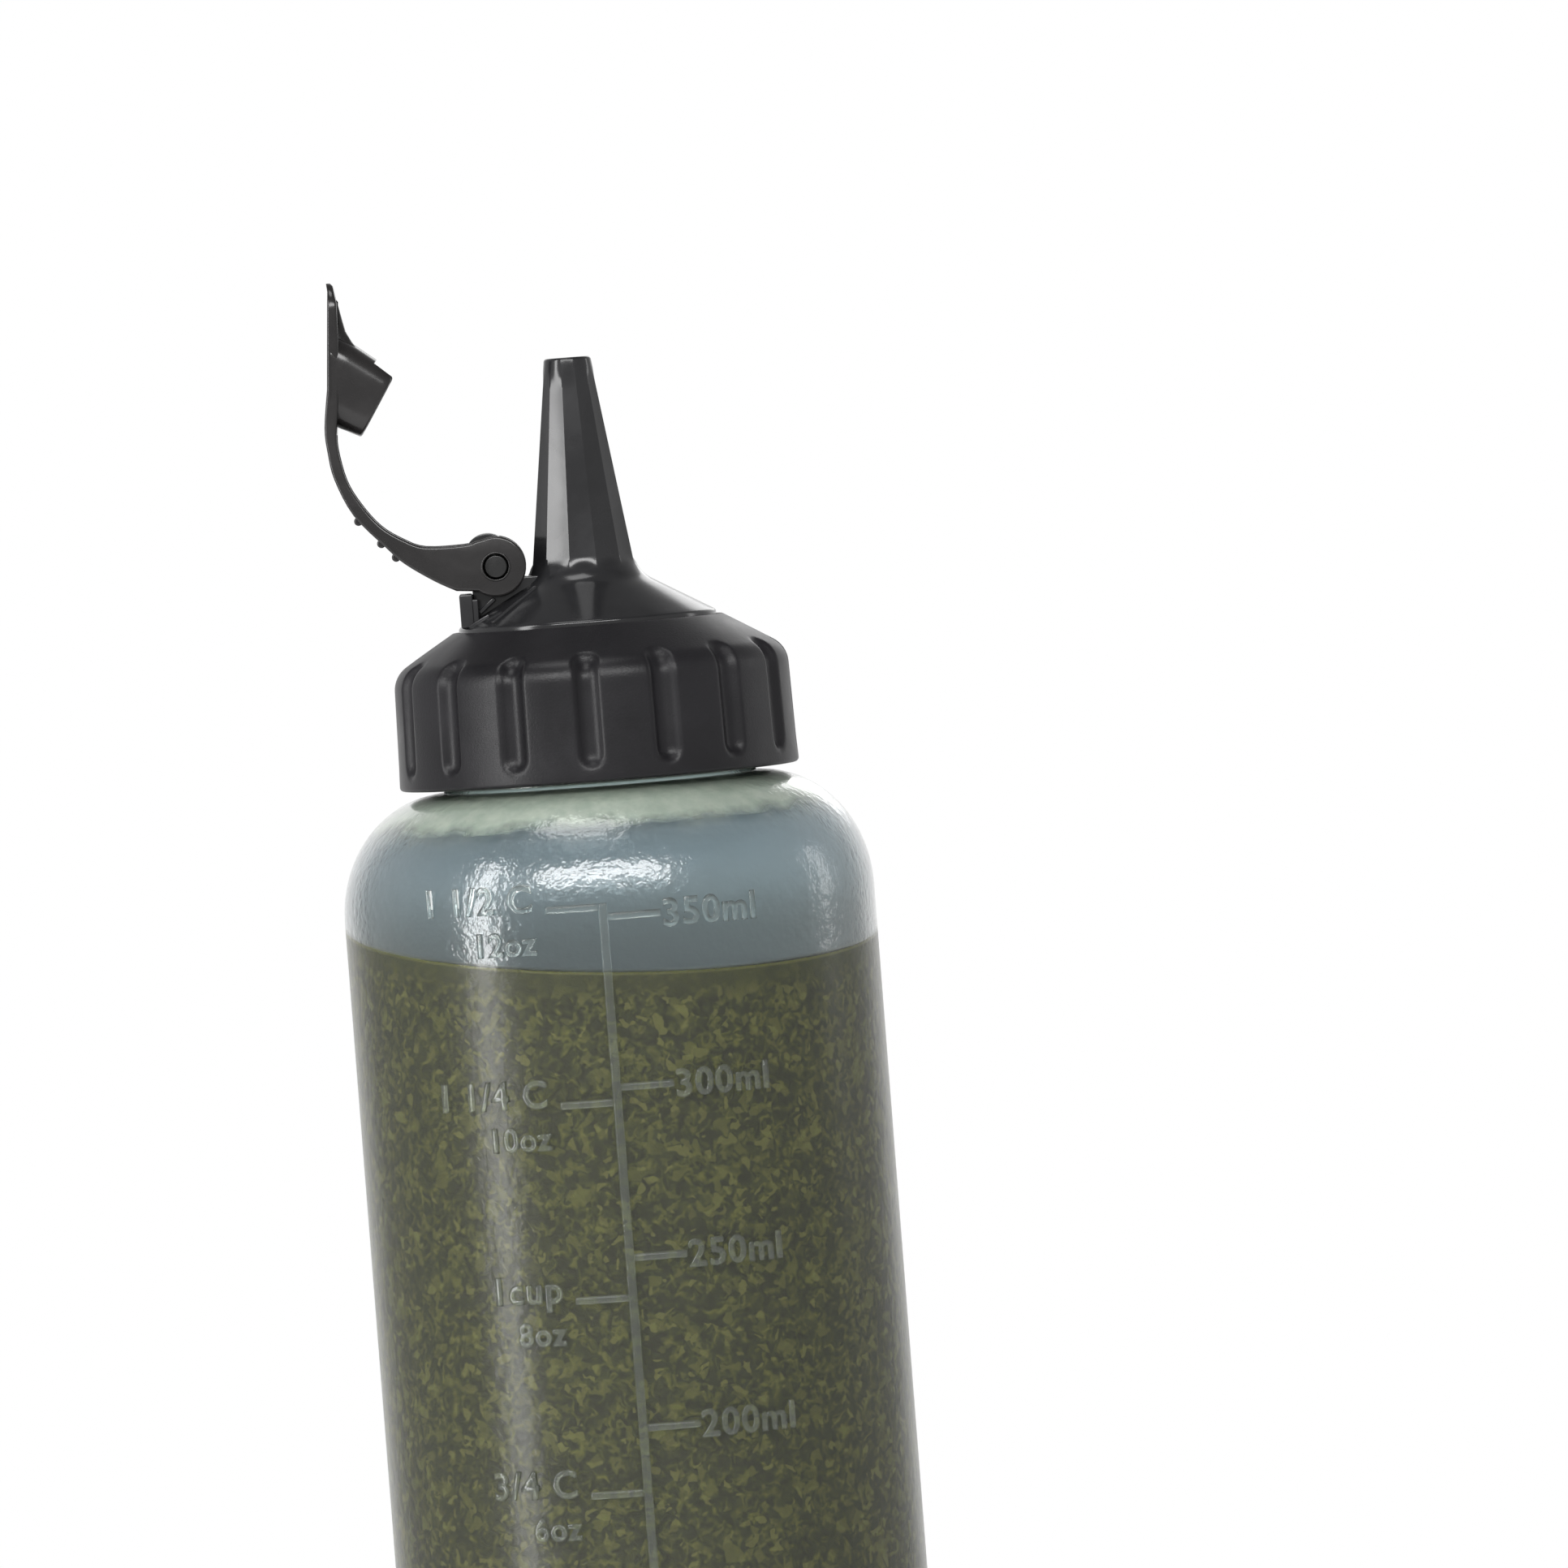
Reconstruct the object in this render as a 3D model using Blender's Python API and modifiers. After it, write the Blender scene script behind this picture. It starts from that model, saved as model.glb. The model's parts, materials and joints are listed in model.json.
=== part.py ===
"""Squeeze bottle with a screwed spout cap, a soft grip ring and a flip cover for the tip.

Metres, +Z up. The origin is the centre of the base, the nozzle's axis is Z, the hinge lies on the -X side
and its pin runs along Y. The flip cover rests open against its stop and turns about the pin to close.
"""

import math

import bmesh
import bpy
from mathutils import Matrix, Vector

MM = 0.001
OBJECT_NAME = "squeeze_bottle"

# General values
CLEARANCE = 0.3 * MM            # left between two pieces that touch
OVERRUN = 1.0 * MM              # how far a cutter runs past what it cuts
MERGE = 0.01 * MM               # merge distance of the turned shapes
BODY_STEPS = 56                 # facets round the bottle
RING_STEPS = 64                 # facets round the grip ring, four to each flute
CAP_STEPS = 72                  # facets round the cap, six to each flute of the nozzle
SMALL_STEPS = 32                # facets round small round pieces
ARC_STEPS = 5                   # facets in a quarter of a small rounding
SHOULDER_STEPS = 8              # facets from the bottle's wall over its shoulder to the neck

# Bottle
BODY_RADIUS = 29.85 * MM
BODY_WALL = 1.1 * MM
BASE_ROUNDING = 5.0 * MM        # outer radius between the wall and the base
STAND_WIDTH = 3.8 * MM          # flat ring that the bottle stands on
PUSH_UP = 2.6 * MM              # rise of the base's middle
PUSH_UP_RUN = 1.6 * MM          # width of the step up from the stand ring
BASE_WALL = 1.4 * MM
SHOULDER_START = 141.0 * MM     # height where the straight wall ends
SHOULDER_HEIGHT = 13.7 * MM
NECK_RADIUS = 17.5 * MM
NECK_WALL = 1.7 * MM
NECK_HEIGHT = 10.7 * MM         # from the shoulder's top to the lip
NECK_FOOT = 0.25 * MM           # small step between the shoulder and the neck
LIP_ROUNDING = 0.4 * MM

# Contents
FILL_DROP = 2.8 * MM            # from the top of the straight wall down to the level at the middle
FILL_TILT_SHARES = (-0.0736, 0.1255)   # rise of the surface towards +X and +Y, per length along them
FILL_SHOULDER_POINTS = 4           # of the shoulder's line, to end above the tilted surface

# Seal washer
WASHER_THICKNESS = 1.2 * MM
WASHER_WIDTH = 2.9 * MM

# Grip ring
RING_LIFT = 0.6 * MM            # from the shoulder's top up to the ring's foot
RING_SIDE = 2.1 * MM            # from the skirt out to the ring's foot
RING_DRAW_IN = 0.25 * MM        # how much smaller it is where its shoulder starts
RING_SHOULDER = 3.2 * MM        # radius of the rounding at the shoulder
RING_SLOPE = math.radians(31.0)
RING_WALL = 1.5 * MM            # on the slope
RING_FOOT_WALL = 0.8 * MM       # of the lip that wraps under the skirt
RING_FOOT_ROUNDING = 0.3 * MM
FLUTE_COUNT = 16
FLUTE_WIDTH = 2.9 * MM
FLUTE_DEPTH = 0.9 * MM
FLUTE_LIFT = 1.7 * MM            # from the ring's foot up to the flutes
FLUTE_TURN = math.radians(-92.0)  # direction of the flute nearest the front
FLUTE_TAIL_SHARE = 0.62           # of the section's radius, where the flute runs out up the slope
FLUTE_END_SHARES = (0.4, 0.86)    # of the flute's section, over its last two stations

# Spout cap
THREAD_ROOM = 1.55 * MM         # between the neck and the skirt, for the thread
SKIRT_WALL = 1.35 * MM
KEY_COUNT = 8                   # ribs that turn the grip ring with the cap
KEY_WIDTH = 1.2 * MM
KEY_HEIGHT = 0.6 * MM
ROOF_WALL = 1.4 * MM
ROOF_CHAMFER = 1.15 * MM
ROOF_EDGE = 0.1352 * MM         # rise of the roof's outer corner above the roof's underside
DISC_MARGIN = 0.35 * MM         # from the stop wall out to the flared disc's edge
DISC_EDGE = 0.25 * MM           # the disc's edge stands this much above the ring
DISC_WALL = 1.5 * MM
CONE_HEIGHT = 4.45 * MM         # from the disc's edge up to the nozzle's foot
FOOT_RISE = 0.9 * MM            # of the rounding between the cone and the nozzle
FOOT_FLARE = 0.9 * MM
NOZZLE_FOOT_RADIUS = 6.0 * MM
NOZZLE_LENGTH = 24.1 * MM
TIP_RADIUS = 2.62 * MM
TIP_ROUNDING = 0.35 * MM
ORIFICE_RADIUS = 1.35 * MM
NOZZLE_WALL = 1.3 * MM
NOZZLE_FLUTES = 12
NOZZLE_FLUTE_SHARE = 0.038      # of the nozzle's radius, as the depth of a flute
NOZZLE_FLUTE_LIFT = 0.7 * MM    # from the nozzle's foot up to its flutes
NOZZLE_FLUTE_DROP = 1.4 * MM    # from the tip down to the flutes
NOZZLE_FLUTE_FADE = 0.7 * MM

# Hinge
HINGE_ROOM = 0.38 * MM          # between the nozzle's foot and the ears
PIN_RISE = 1.37 * MM            # of the pin above the nozzle's foot
PIN_RADIUS = 1.6 * MM           # inside the knuckle
PIN_END_RADIUS = 1.2 * MM       # inside the ears
PIN_RECESS = 0.35 * MM          # of each pin end inside its ear
PIN_END_BEVEL = 0.2 * MM
BARREL_RADIUS = 3.15 * MM       # round the pin
KNUCKLE_RADIUS = 2.6 * MM       # of the ribbed bulge at the barrel's outer side
KNUCKLE_OUT = 0.84 * MM         # from the pin outwards to the bulge's middle
KNUCKLE_UP = 1.15 * MM          # from the pin up to the bulge's middle
KNUCKLE_RIBS = 4
KNUCKLE_GROOVE = 0.35 * MM
KNUCKLE_GROOVE_SHARE = 0.4      # of a rib's spacing, as the width of a groove
TOWER_OUT = 4.37 * MM           # from the pin out to the face of the wall that the open cover rests on
TOWER_WALL = 1.5 * MM
TOWER_DROP = 2.87 * MM          # from the pin down to the top of that wall
TOWER_BEVEL = 0.25 * MM

# Tip cover, drawn closed with the pin's axis as its origin
COVER_WIDTH = 11.0 * MM         # over the ears
COVER_DRAFT_SHARE = 0.046       # how much each side draws in, as a share of the height
EAR_RADIUS = 3.4 * MM
EAR_WALL = 1.3 * MM
WEB_WALL = 1.1 * MM
COVER_OPEN = math.radians(57.5)  # angle between closed and open
HEEL_TURN = math.radians(23.0)  # from the heel's corner round to where the ear's circle starts
EAR_BLEND = math.radians(12.0)  # left between the ear's circle and the arm's inner edge
CUP_HALF_LENGTH = 4.45 * MM
CUP_INSET = 1.05 * MM           # from the cover's side in to the cup's side
CUP_WALL = 0.8 * MM
CUP_CORNER = 3.4 * MM
CUP_LAP = 2.6 * MM              # how far the cup reaches down over the tip
CUP_RIM_CHAMFER = 0.4 * MM
CUP_ROOM = 1.9 * MM             # from the tip up to the cup's roof
CUP_HEAD = 1.7 * MM             # from the tip up to where the cup joins the plate
SEAL_BOSS_RADIUS = 2.0 * MM
NOTCH_MARGIN = 0.35 * MM        # either side of the tip as it passes through the notch
TAB_ROUNDING_SHARE = 0.788      # of the tab's half width, as the radius of its corners
RIDGE_RADIUS = 0.5 * MM
RIDGE_SINK_SHARE = 0.2          # of a ridge's radius, sunk in the arm
RIDGE_PLACE_SHARES = (0.31, 0.395, 0.48)   # along the arm's outer edge

# Points of the arm's edges as shares of the tip's reach and rise from the pin
INNER_EDGE_SHARES = ((0.150, 0.146), (0.047, 0.191), (-0.180, 0.352), (-0.225, 0.466), (-0.211, 0.594),
                     (-0.097, 0.730), (0.067, 0.849), (0.349, 0.963), (0.546, 1.012))
OUTER_EDGE_SHARES = ((-0.460, 0.114), (-0.481, 0.233), (-0.467, 0.400), (-0.405, 0.519),
                     (-0.256, 0.735), (0.003, 0.902), (0.239, 0.994), (0.475, 1.065), (0.880, 1.144))
TAB_TOP_SHARES = ((1.868, 1.368),)
TAB_TIP_SHARES = ((1.945, 1.395), (1.968, 1.378), (1.955, 1.354))
TAB_UNDER_SHARES = ((1.814, 1.307), (1.650, 1.236), (1.540, 1.190), (1.483, 1.135))
EDGE_STEPS = 3                  # facets between two points of an edge

# Sizes worked out from those above
BODY_BORE = BODY_RADIUS - BODY_WALL
NECK_BORE = NECK_RADIUS - NECK_WALL
SHOULDER_TOP = SHOULDER_START + SHOULDER_HEIGHT
NECK_TOP = SHOULDER_TOP + NECK_HEIGHT
FILL_LEVEL = SHOULDER_START - FILL_DROP
WASHER_BORE = NECK_RADIUS - WASHER_WIDTH
WASHER_BOTTOM = NECK_TOP + CLEARANCE
ROOF_HEIGHT = WASHER_BOTTOM + WASHER_THICKNESS + CLEARANCE
SKIRT_BORE = NECK_RADIUS + THREAD_ROOM
SKIRT_RADIUS = SKIRT_BORE + SKIRT_WALL
RING_RADIUS = SKIRT_RADIUS + RING_SIDE
RING_BORE = SKIRT_RADIUS + CLEARANCE
RING_BOTTOM = SHOULDER_TOP + RING_LIFT
SKIRT_BOTTOM = RING_BOTTOM + RING_FOOT_WALL + CLEARANCE
FLUTE_BOTTOM = RING_BOTTOM + FLUTE_LIFT
PIN_X = -(NOZZLE_FOOT_RADIUS + HINGE_ROOM + EAR_RADIUS)
TOWER_FACE = PIN_X - TOWER_OUT
DISC_RADIUS = DISC_MARGIN - TOWER_FACE
RING_INNER_TOP = DISC_RADIUS + CLEARANCE
RING_TOP = (ROOF_HEIGHT + ROOF_EDGE + (SKIRT_RADIUS - RING_INNER_TOP) * math.tan(RING_SLOPE)
            + (RING_WALL + CLEARANCE) / math.cos(RING_SLOPE))
RING_SHOULDER_RADIUS = RING_RADIUS - RING_DRAW_IN
RING_BEND = math.radians(90.0) - RING_SLOPE
RING_TANGENT = RING_SHOULDER_RADIUS - RING_SHOULDER * (1 - math.cos(RING_BEND))
RING_WALL_TOP = (RING_TOP - (RING_TANGENT - RING_INNER_TOP) * math.tan(RING_SLOPE)
                 - RING_SHOULDER * math.sin(RING_BEND))
CONE_TOP = RING_TOP + DISC_EDGE + CONE_HEIGHT
CONE_TOP_RADIUS = NOZZLE_FOOT_RADIUS + FOOT_FLARE
NOZZLE_FOOT = CONE_TOP + FOOT_RISE
NOZZLE_TOP = NOZZLE_FOOT + NOZZLE_LENGTH
NOZZLE_FLUTE_FOOT = NOZZLE_FOOT + NOZZLE_FLUTE_LIFT
NOZZLE_FLUTE_TOP = NOZZLE_TOP - NOZZLE_FLUTE_DROP
PIN_Z = NOZZLE_FOOT + PIN_RISE
TOWER_SEAT = PIN_Z - TOWER_DROP
COVER_HALF = COVER_WIDTH / 2
CUP_HALF_WIDTH = COVER_HALF - CUP_INSET
SLOT_HALF = COVER_HALF - EAR_WALL
KNUCKLE_HALF = SLOT_HALF - CLEARANCE
SLOT_RADIUS = math.hypot(KNUCKLE_OUT, KNUCKLE_UP) + KNUCKLE_RADIUS + CLEARANCE
PIN_BORE = PIN_RADIUS + CLEARANCE
EAR_BORE = PIN_END_RADIUS + CLEARANCE
TIP_REACH = -PIN_X
TIP_RISE = NOZZLE_TOP - PIN_Z
NOZZLE_TAPER = (NOZZLE_FOOT_RADIUS - TIP_RADIUS) / (NOZZLE_TOP - NOZZLE_FOOT)


def clear_scene():
    for old in list(bpy.data.objects):
        bpy.data.objects.remove(old, do_unlink=True)


def new_collection(name):
    collection = bpy.data.collections.new(name)
    bpy.context.scene.collection.children.link(collection)
    return collection


def plastic(name, colour, roughness, transmission=0.0):
    material = bpy.data.materials.new(name)
    material.use_nodes = True
    shader = material.node_tree.nodes["Principled BSDF"]
    shader.inputs["Base Color"].default_value = (*colour, 1.0)
    shader.inputs["Roughness"].default_value = roughness
    shader.inputs["Metallic"].default_value = 0.0
    shader.inputs["Transmission Weight"].default_value = transmission
    return material


def add_object(name, mesh, collection, material=None):
    made = bpy.data.objects.new(name, mesh)
    collection.objects.link(made)
    if material is not None:
        mesh.materials.append(material)
    return made


def baked_mesh(made):
    """The mesh that an object's modifiers make, as its own mesh."""
    graph = bpy.context.evaluated_depsgraph_get()
    return bpy.data.meshes.new_from_object(made.evaluated_get(graph))


def arc(centre, radii, start, end, steps):
    """Points of an ellipse's arc, as (radius, height), with its angles from +X."""
    points = []
    for step in range(steps + 1):
        angle = start + (end - start) * step / steps
        points.append((centre[0] + radii[0] * math.cos(angle), centre[1] + radii[1] * math.sin(angle)))
    return points


def smooth_line(points, steps):
    """A smooth line through the points, each stretch cut into steps."""
    ends = [points[0], *points, points[-1]]
    line = []
    for before, start, end, after in zip(ends, ends[1:], ends[2:], ends[3:]):
        for step in range(steps):
            t = step / steps
            line.append(tuple(
                0.5 * (2 * b + (c - a) * t + (2 * a - 5 * b + 4 * c - d) * t * t
                       + (3 * b - a - 3 * c + d) * t ** 3)
                for a, b, c, d in zip(before, start, end, after)))
    line.append(tuple(points[-1]))
    return line


def turned(name, profile, steps, collection, material=None, closed=True):
    """A profile of (radius, height) points turned about Z with a Screw modifier."""
    mesh = bpy.data.meshes.new(name)
    edges = [(index, index + 1) for index in range(len(profile) - 1)]
    if closed:
        edges.append((len(profile) - 1, 0))
    mesh.from_pydata([(radius, 0.0, height) for radius, height in profile], edges, [])
    made = add_object(name, mesh, collection, material)
    screw = made.modifiers.new("turn", "SCREW")
    screw.steps = steps
    screw.render_steps = steps
    screw.use_merge_vertices = True
    screw.merge_threshold = MERGE
    screw.use_smooth_shade = True
    return made


def settled(made):
    """Replaces an object's modifiers by the mesh that they make."""
    mesh = baked_mesh(made)
    made.modifiers.clear()
    made.data = mesh
    return made


def prism(name, outline, half_depth, collection, draft=0.0):
    """An outline of (x, z) points extruded along Y both ways, with its sides drawn in by height."""
    build = bmesh.new()
    front = [build.verts.new((x, -(half_depth - draft * z), z)) for x, z in outline]
    back = [build.verts.new((x, half_depth - draft * z, z)) for x, z in outline]
    build.faces.new(front)
    build.faces.new(back)
    for index in range(len(outline)):
        after = (index + 1) % len(outline)
        build.faces.new((front[index], front[after], back[after], back[index]))
    bmesh.ops.recalc_face_normals(build, faces=build.faces)
    mesh = bpy.data.meshes.new(name)
    build.to_mesh(mesh)
    build.free()
    return add_object(name, mesh, collection)


def box(name, low, high, collection, corner=0.0, vertical_only=False):
    """A box between two corners, with its edges rounded."""
    size = [b - a for a, b in zip(low, high)]
    centre = [(a + b) / 2 for a, b in zip(low, high)]
    build = bmesh.new()
    bmesh.ops.create_cube(build, size=1.0, matrix=Matrix.Translation(centre) @ Matrix.Diagonal((*size, 1.0)))
    if corner:
        edges = build.edges
        if vertical_only:
            edges = [edge for edge in edges
                     if abs(edge.verts[0].co.z - edge.verts[1].co.z) > size[2] / 2]
        bmesh.ops.bevel(build, geom=list(edges), offset=corner, segments=ARC_STEPS, profile=0.5,
                        affect="EDGES")
    mesh = bpy.data.meshes.new(name)
    build.to_mesh(mesh)
    build.free()
    return add_object(name, mesh, collection)


def rod(name, radius, half_length, centre, collection, steps=SMALL_STEPS, axis="Y"):
    """A cylinder along Y or Z, centred on a point."""
    turn = Matrix.Rotation(math.radians(90.0), 4, "X") if axis == "Y" else Matrix.Identity(4)
    build = bmesh.new()
    bmesh.ops.create_cone(build, cap_ends=True, segments=steps, radius1=radius, radius2=radius,
                          depth=half_length * 2, matrix=Matrix.Translation(centre) @ turn)
    mesh = bpy.data.meshes.new(name)
    build.to_mesh(mesh)
    build.free()
    return add_object(name, mesh, collection)


def combine(made, tool, operation):
    """Joins a tool to an object, cuts it away or keeps what both hold; the tool stays as a guide."""
    tool.hide_render = True
    tool.display_type = "WIRE"
    step = made.modifiers.new(tool.name, "BOOLEAN")
    step.operation = operation
    step.object = tool
    step.solver = "EXACT"


def join_copies(name, meshes, collection):
    """One object from several meshes that don't touch."""
    build = bmesh.new()
    for mesh in meshes:
        build.from_mesh(mesh)
    mesh = bpy.data.meshes.new(name)
    build.to_mesh(mesh)
    build.free()
    return add_object(name, mesh, collection)


def turned_copies(source, count, start):
    """Copies of an object's mesh at equal turns about Z."""
    copies = []
    for index in range(count):
        copy = source.data.copy()
        copy.transform(Matrix.Rotation(start + index * math.tau / count, 4, "Z"))
        copies.append(copy)
    return copies


def shoulder_line(radius, neck, start, top):
    """The shoulder as a quarter of an ellipse, from the neck down to the wall."""
    return arc((neck, start), (radius - neck, top - start), math.radians(90.0), 0.0, SHOULDER_STEPS)


def bottle_outside():
    """Outer side of the bottle, from the lip down to the middle of the base."""
    stand_outer = BODY_RADIUS - BASE_ROUNDING
    stand_inner = stand_outer - STAND_WIDTH
    line = arc((NECK_RADIUS - LIP_ROUNDING, NECK_TOP - LIP_ROUNDING), (LIP_ROUNDING, LIP_ROUNDING),
               math.radians(90.0), 0.0, 2)
    line += shoulder_line(BODY_RADIUS, NECK_RADIUS + NECK_FOOT, SHOULDER_START, SHOULDER_TOP)
    line += arc((stand_outer, BASE_ROUNDING), (BASE_ROUNDING, BASE_ROUNDING),
                0.0, math.radians(-90.0), ARC_STEPS)
    line.append((stand_inner, 0.0))
    line.append((stand_inner - PUSH_UP_RUN, PUSH_UP - CLEARANCE))
    line.append((0.0, PUSH_UP))
    return line


def bottle_inside(gap=0.0):
    """Inner side of the bottle, from the middle of the base up to the top of the straight wall."""
    rounding = BASE_ROUNDING - gap
    stand_inner = BODY_RADIUS - BASE_ROUNDING - STAND_WIDTH
    line = [(0.0, PUSH_UP + BASE_WALL + gap),
            (stand_inner - PUSH_UP_RUN, PUSH_UP - CLEARANCE + BASE_WALL + gap),
            (stand_inner, BASE_WALL + gap)]
    line += arc((BODY_BORE - gap - rounding, BASE_WALL + gap + rounding), (rounding, rounding),
                math.radians(-90.0), 0.0, ARC_STEPS)
    return line


def build_bottle(parts, material):
    inside = bottle_inside()
    inside_top = SHOULDER_TOP - BASE_WALL
    inside += shoulder_line(BODY_BORE, NECK_BORE + NECK_FOOT, SHOULDER_START, inside_top)[::-1]
    inside.append((NECK_BORE, SHOULDER_TOP))
    inside += arc((NECK_BORE + LIP_ROUNDING, NECK_TOP - LIP_ROUNDING), (LIP_ROUNDING, LIP_ROUNDING),
                  math.radians(180.0), math.radians(90.0), 2)
    return turned("bottle", inside + bottle_outside(), BODY_STEPS, parts, material, closed=False)


def level_cutter(guides):
    """What lies above the dressing's surface, which is tilted as in the leaning bottle."""
    cutter = box("level_cutter", (-BODY_RADIUS, -BODY_RADIUS, 0.0),
                 (BODY_RADIUS, BODY_RADIUS, 2 * SHOULDER_HEIGHT), guides)
    rise_x, rise_y = FILL_TILT_SHARES
    cutter.data.transform(Matrix(((1, 0, 0, 0), (0, 1, 0, 0), (rise_x, rise_y, 1, FILL_LEVEL), (0, 0, 0, 1))))
    return cutter


def build_contents(parts, guides, material):
    under_shoulder = shoulder_line(BODY_BORE - CLEARANCE, NECK_BORE + NECK_FOOT, SHOULDER_START,
                                   SHOULDER_TOP - BASE_WALL - CLEARANCE)[::-1]
    line = bottle_inside(CLEARANCE) + under_shoulder[:FILL_SHOULDER_POINTS]
    line.append((0.0, line[-1][1]))
    contents = turned("dressing", line[::-1], BODY_STEPS, parts, material, closed=False)
    combine(contents, level_cutter(guides), "DIFFERENCE")
    return contents


def build_washer(parts, material):
    top = WASHER_BOTTOM + WASHER_THICKNESS
    outer = NECK_RADIUS
    line = [(outer, top), (outer, WASHER_BOTTOM), (WASHER_BORE, WASHER_BOTTOM), (WASHER_BORE, top)]
    return turned("seal_washer", line, BODY_STEPS, parts, material)


def ring_outside():
    """Outer side of the grip ring, from its inner top edge down to its foot."""
    centre = (RING_SHOULDER_RADIUS - RING_SHOULDER, RING_WALL_TOP)
    rounding = arc(centre, (RING_SHOULDER, RING_SHOULDER), RING_BEND, 0.0, ARC_STEPS)
    foot = arc((RING_RADIUS - RING_FOOT_ROUNDING, RING_BOTTOM + RING_FOOT_ROUNDING),
               (RING_FOOT_ROUNDING, RING_FOOT_ROUNDING), 0.0, math.radians(-90.0), 2)
    return [(RING_INNER_TOP, RING_TOP)] + rounding + foot


def slope_under_ring(radius, depth):
    """Height of the line that runs this deep under the ring's slope, at a radius."""
    height = RING_TOP - (radius - RING_INNER_TOP) * math.tan(RING_SLOPE)
    return height - depth / math.cos(RING_SLOPE)


def flute_path():
    """The middle line of a flute's cutter, which follows the ring's outer side over its shoulder."""
    section = (FLUTE_WIDTH ** 2 / 4 + FLUTE_DEPTH ** 2) / (2 * FLUTE_DEPTH)
    out = section - FLUTE_DEPTH
    side = RING_RADIUS - RING_DRAW_IN / 2
    centre = (side - RING_SHOULDER, RING_WALL_TOP)
    bend = arc(centre, (RING_SHOULDER + out, RING_SHOULDER + out), 0.0, RING_BEND, 4)
    foot = FLUTE_BOTTOM - FLUTE_DEPTH / 2
    path = [(side + out, foot), (side + out, foot + section / 2), (side + out, foot + section)]
    path += bend
    tail = section * FLUTE_TAIL_SHARE
    path.append((path[-1][0] - tail * math.cos(RING_SLOPE), path[-1][1] + tail * math.sin(RING_SLOPE)))
    return path, section


def flute_cutter(guides):
    path, section = flute_path()
    curve = bpy.data.curves.new("flute_path", "CURVE")
    curve.dimensions = "3D"
    curve.bevel_depth = section
    curve.bevel_resolution = 3
    curve.use_fill_caps = True
    spline = curve.splines.new("POLY")
    spline.points.add(len(path) - 1)
    ends = list(FLUTE_END_SHARES)
    radii = ends + [1.0] * (len(path) - 2 * len(ends)) + ends[::-1]
    for point, place, radius in zip(spline.points, path, radii):
        point.co = (place[0], 0.0, place[1], 1.0)
        point.radius = radius
    holder = add_object("flute_path", curve, guides)
    mesh = baked_mesh(holder)
    bpy.data.objects.remove(holder, do_unlink=True)
    build = bmesh.new()
    build.from_mesh(mesh)
    bmesh.ops.remove_doubles(build, verts=build.verts, dist=MERGE)
    bmesh.ops.recalc_face_normals(build, faces=build.faces)
    build.to_mesh(mesh)
    build.free()
    one = add_object("one_flute", mesh, guides)
    cutter = join_copies("grip_flutes", turned_copies(one, FLUTE_COUNT, FLUTE_TURN), guides)
    bpy.data.objects.remove(one, do_unlink=True)
    return cutter


def key_blocks(name, gap, guides):
    """The ribs on the skirt, or with a gap round them the slots that they sit in."""
    half = KEY_WIDTH / 2 + gap
    low = (SKIRT_RADIUS - SKIRT_WALL / 2, -half, SKIRT_BOTTOM + SKIRT_WALL - gap)
    high = (SKIRT_RADIUS + KEY_HEIGHT + gap, half, RING_WALL_TOP - 2 * SKIRT_WALL + gap)
    one = box("one_key", low, high, guides)
    start = FLUTE_TURN + math.pi / FLUTE_COUNT
    keys = join_copies(name, turned_copies(one, KEY_COUNT, start), guides)
    bpy.data.objects.remove(one, do_unlink=True)
    return keys


def build_grip_ring(parts, guides, material):
    foot_bore = SKIRT_BORE + CLEARANCE
    foot_top = RING_BOTTOM + RING_FOOT_WALL
    inside = [(foot_bore, RING_BOTTOM), (foot_bore, foot_top), (RING_BORE, foot_top),
              (RING_BORE, slope_under_ring(RING_BORE, RING_WALL)),
              (RING_INNER_TOP, slope_under_ring(RING_INNER_TOP, RING_WALL))]
    ring = turned("grip_ring", ring_outside() + inside, RING_STEPS, parts, material)
    combine(ring, flute_cutter(guides), "DIFFERENCE")
    combine(ring, key_blocks("key_slots", CLEARANCE, guides), "DIFFERENCE")
    return ring


def nozzle_radius(height):
    return TIP_RADIUS + (NOZZLE_TOP - height) * NOZZLE_TAPER


def nozzle_outside():
    """Outer side of the nozzle from its tip down to the foot, with stations for the flutes."""
    line = arc((TIP_RADIUS - TIP_ROUNDING, NOZZLE_TOP - TIP_ROUNDING), (TIP_ROUNDING, TIP_ROUNDING),
               math.radians(90.0), 0.0, 3)
    for end, way in ((NOZZLE_FLUTE_TOP, -1), (NOZZLE_FLUTE_FOOT, 1)):
        stations = [end + way * NOZZLE_FLUTE_FADE * share for share in (0.0, 0.5, 1.0)]
        line += [(nozzle_radius(height), height) for height in stations[::-way]]
    line.append((NOZZLE_FOOT_RADIUS, NOZZLE_FOOT))
    middle = ((NOZZLE_FOOT_RADIUS + CONE_TOP_RADIUS) / 2 - CLEARANCE / 2,
              (NOZZLE_FOOT + CONE_TOP) / 2 - CLEARANCE / 2)
    line += [middle, (CONE_TOP_RADIUS, CONE_TOP)]
    return line


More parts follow.
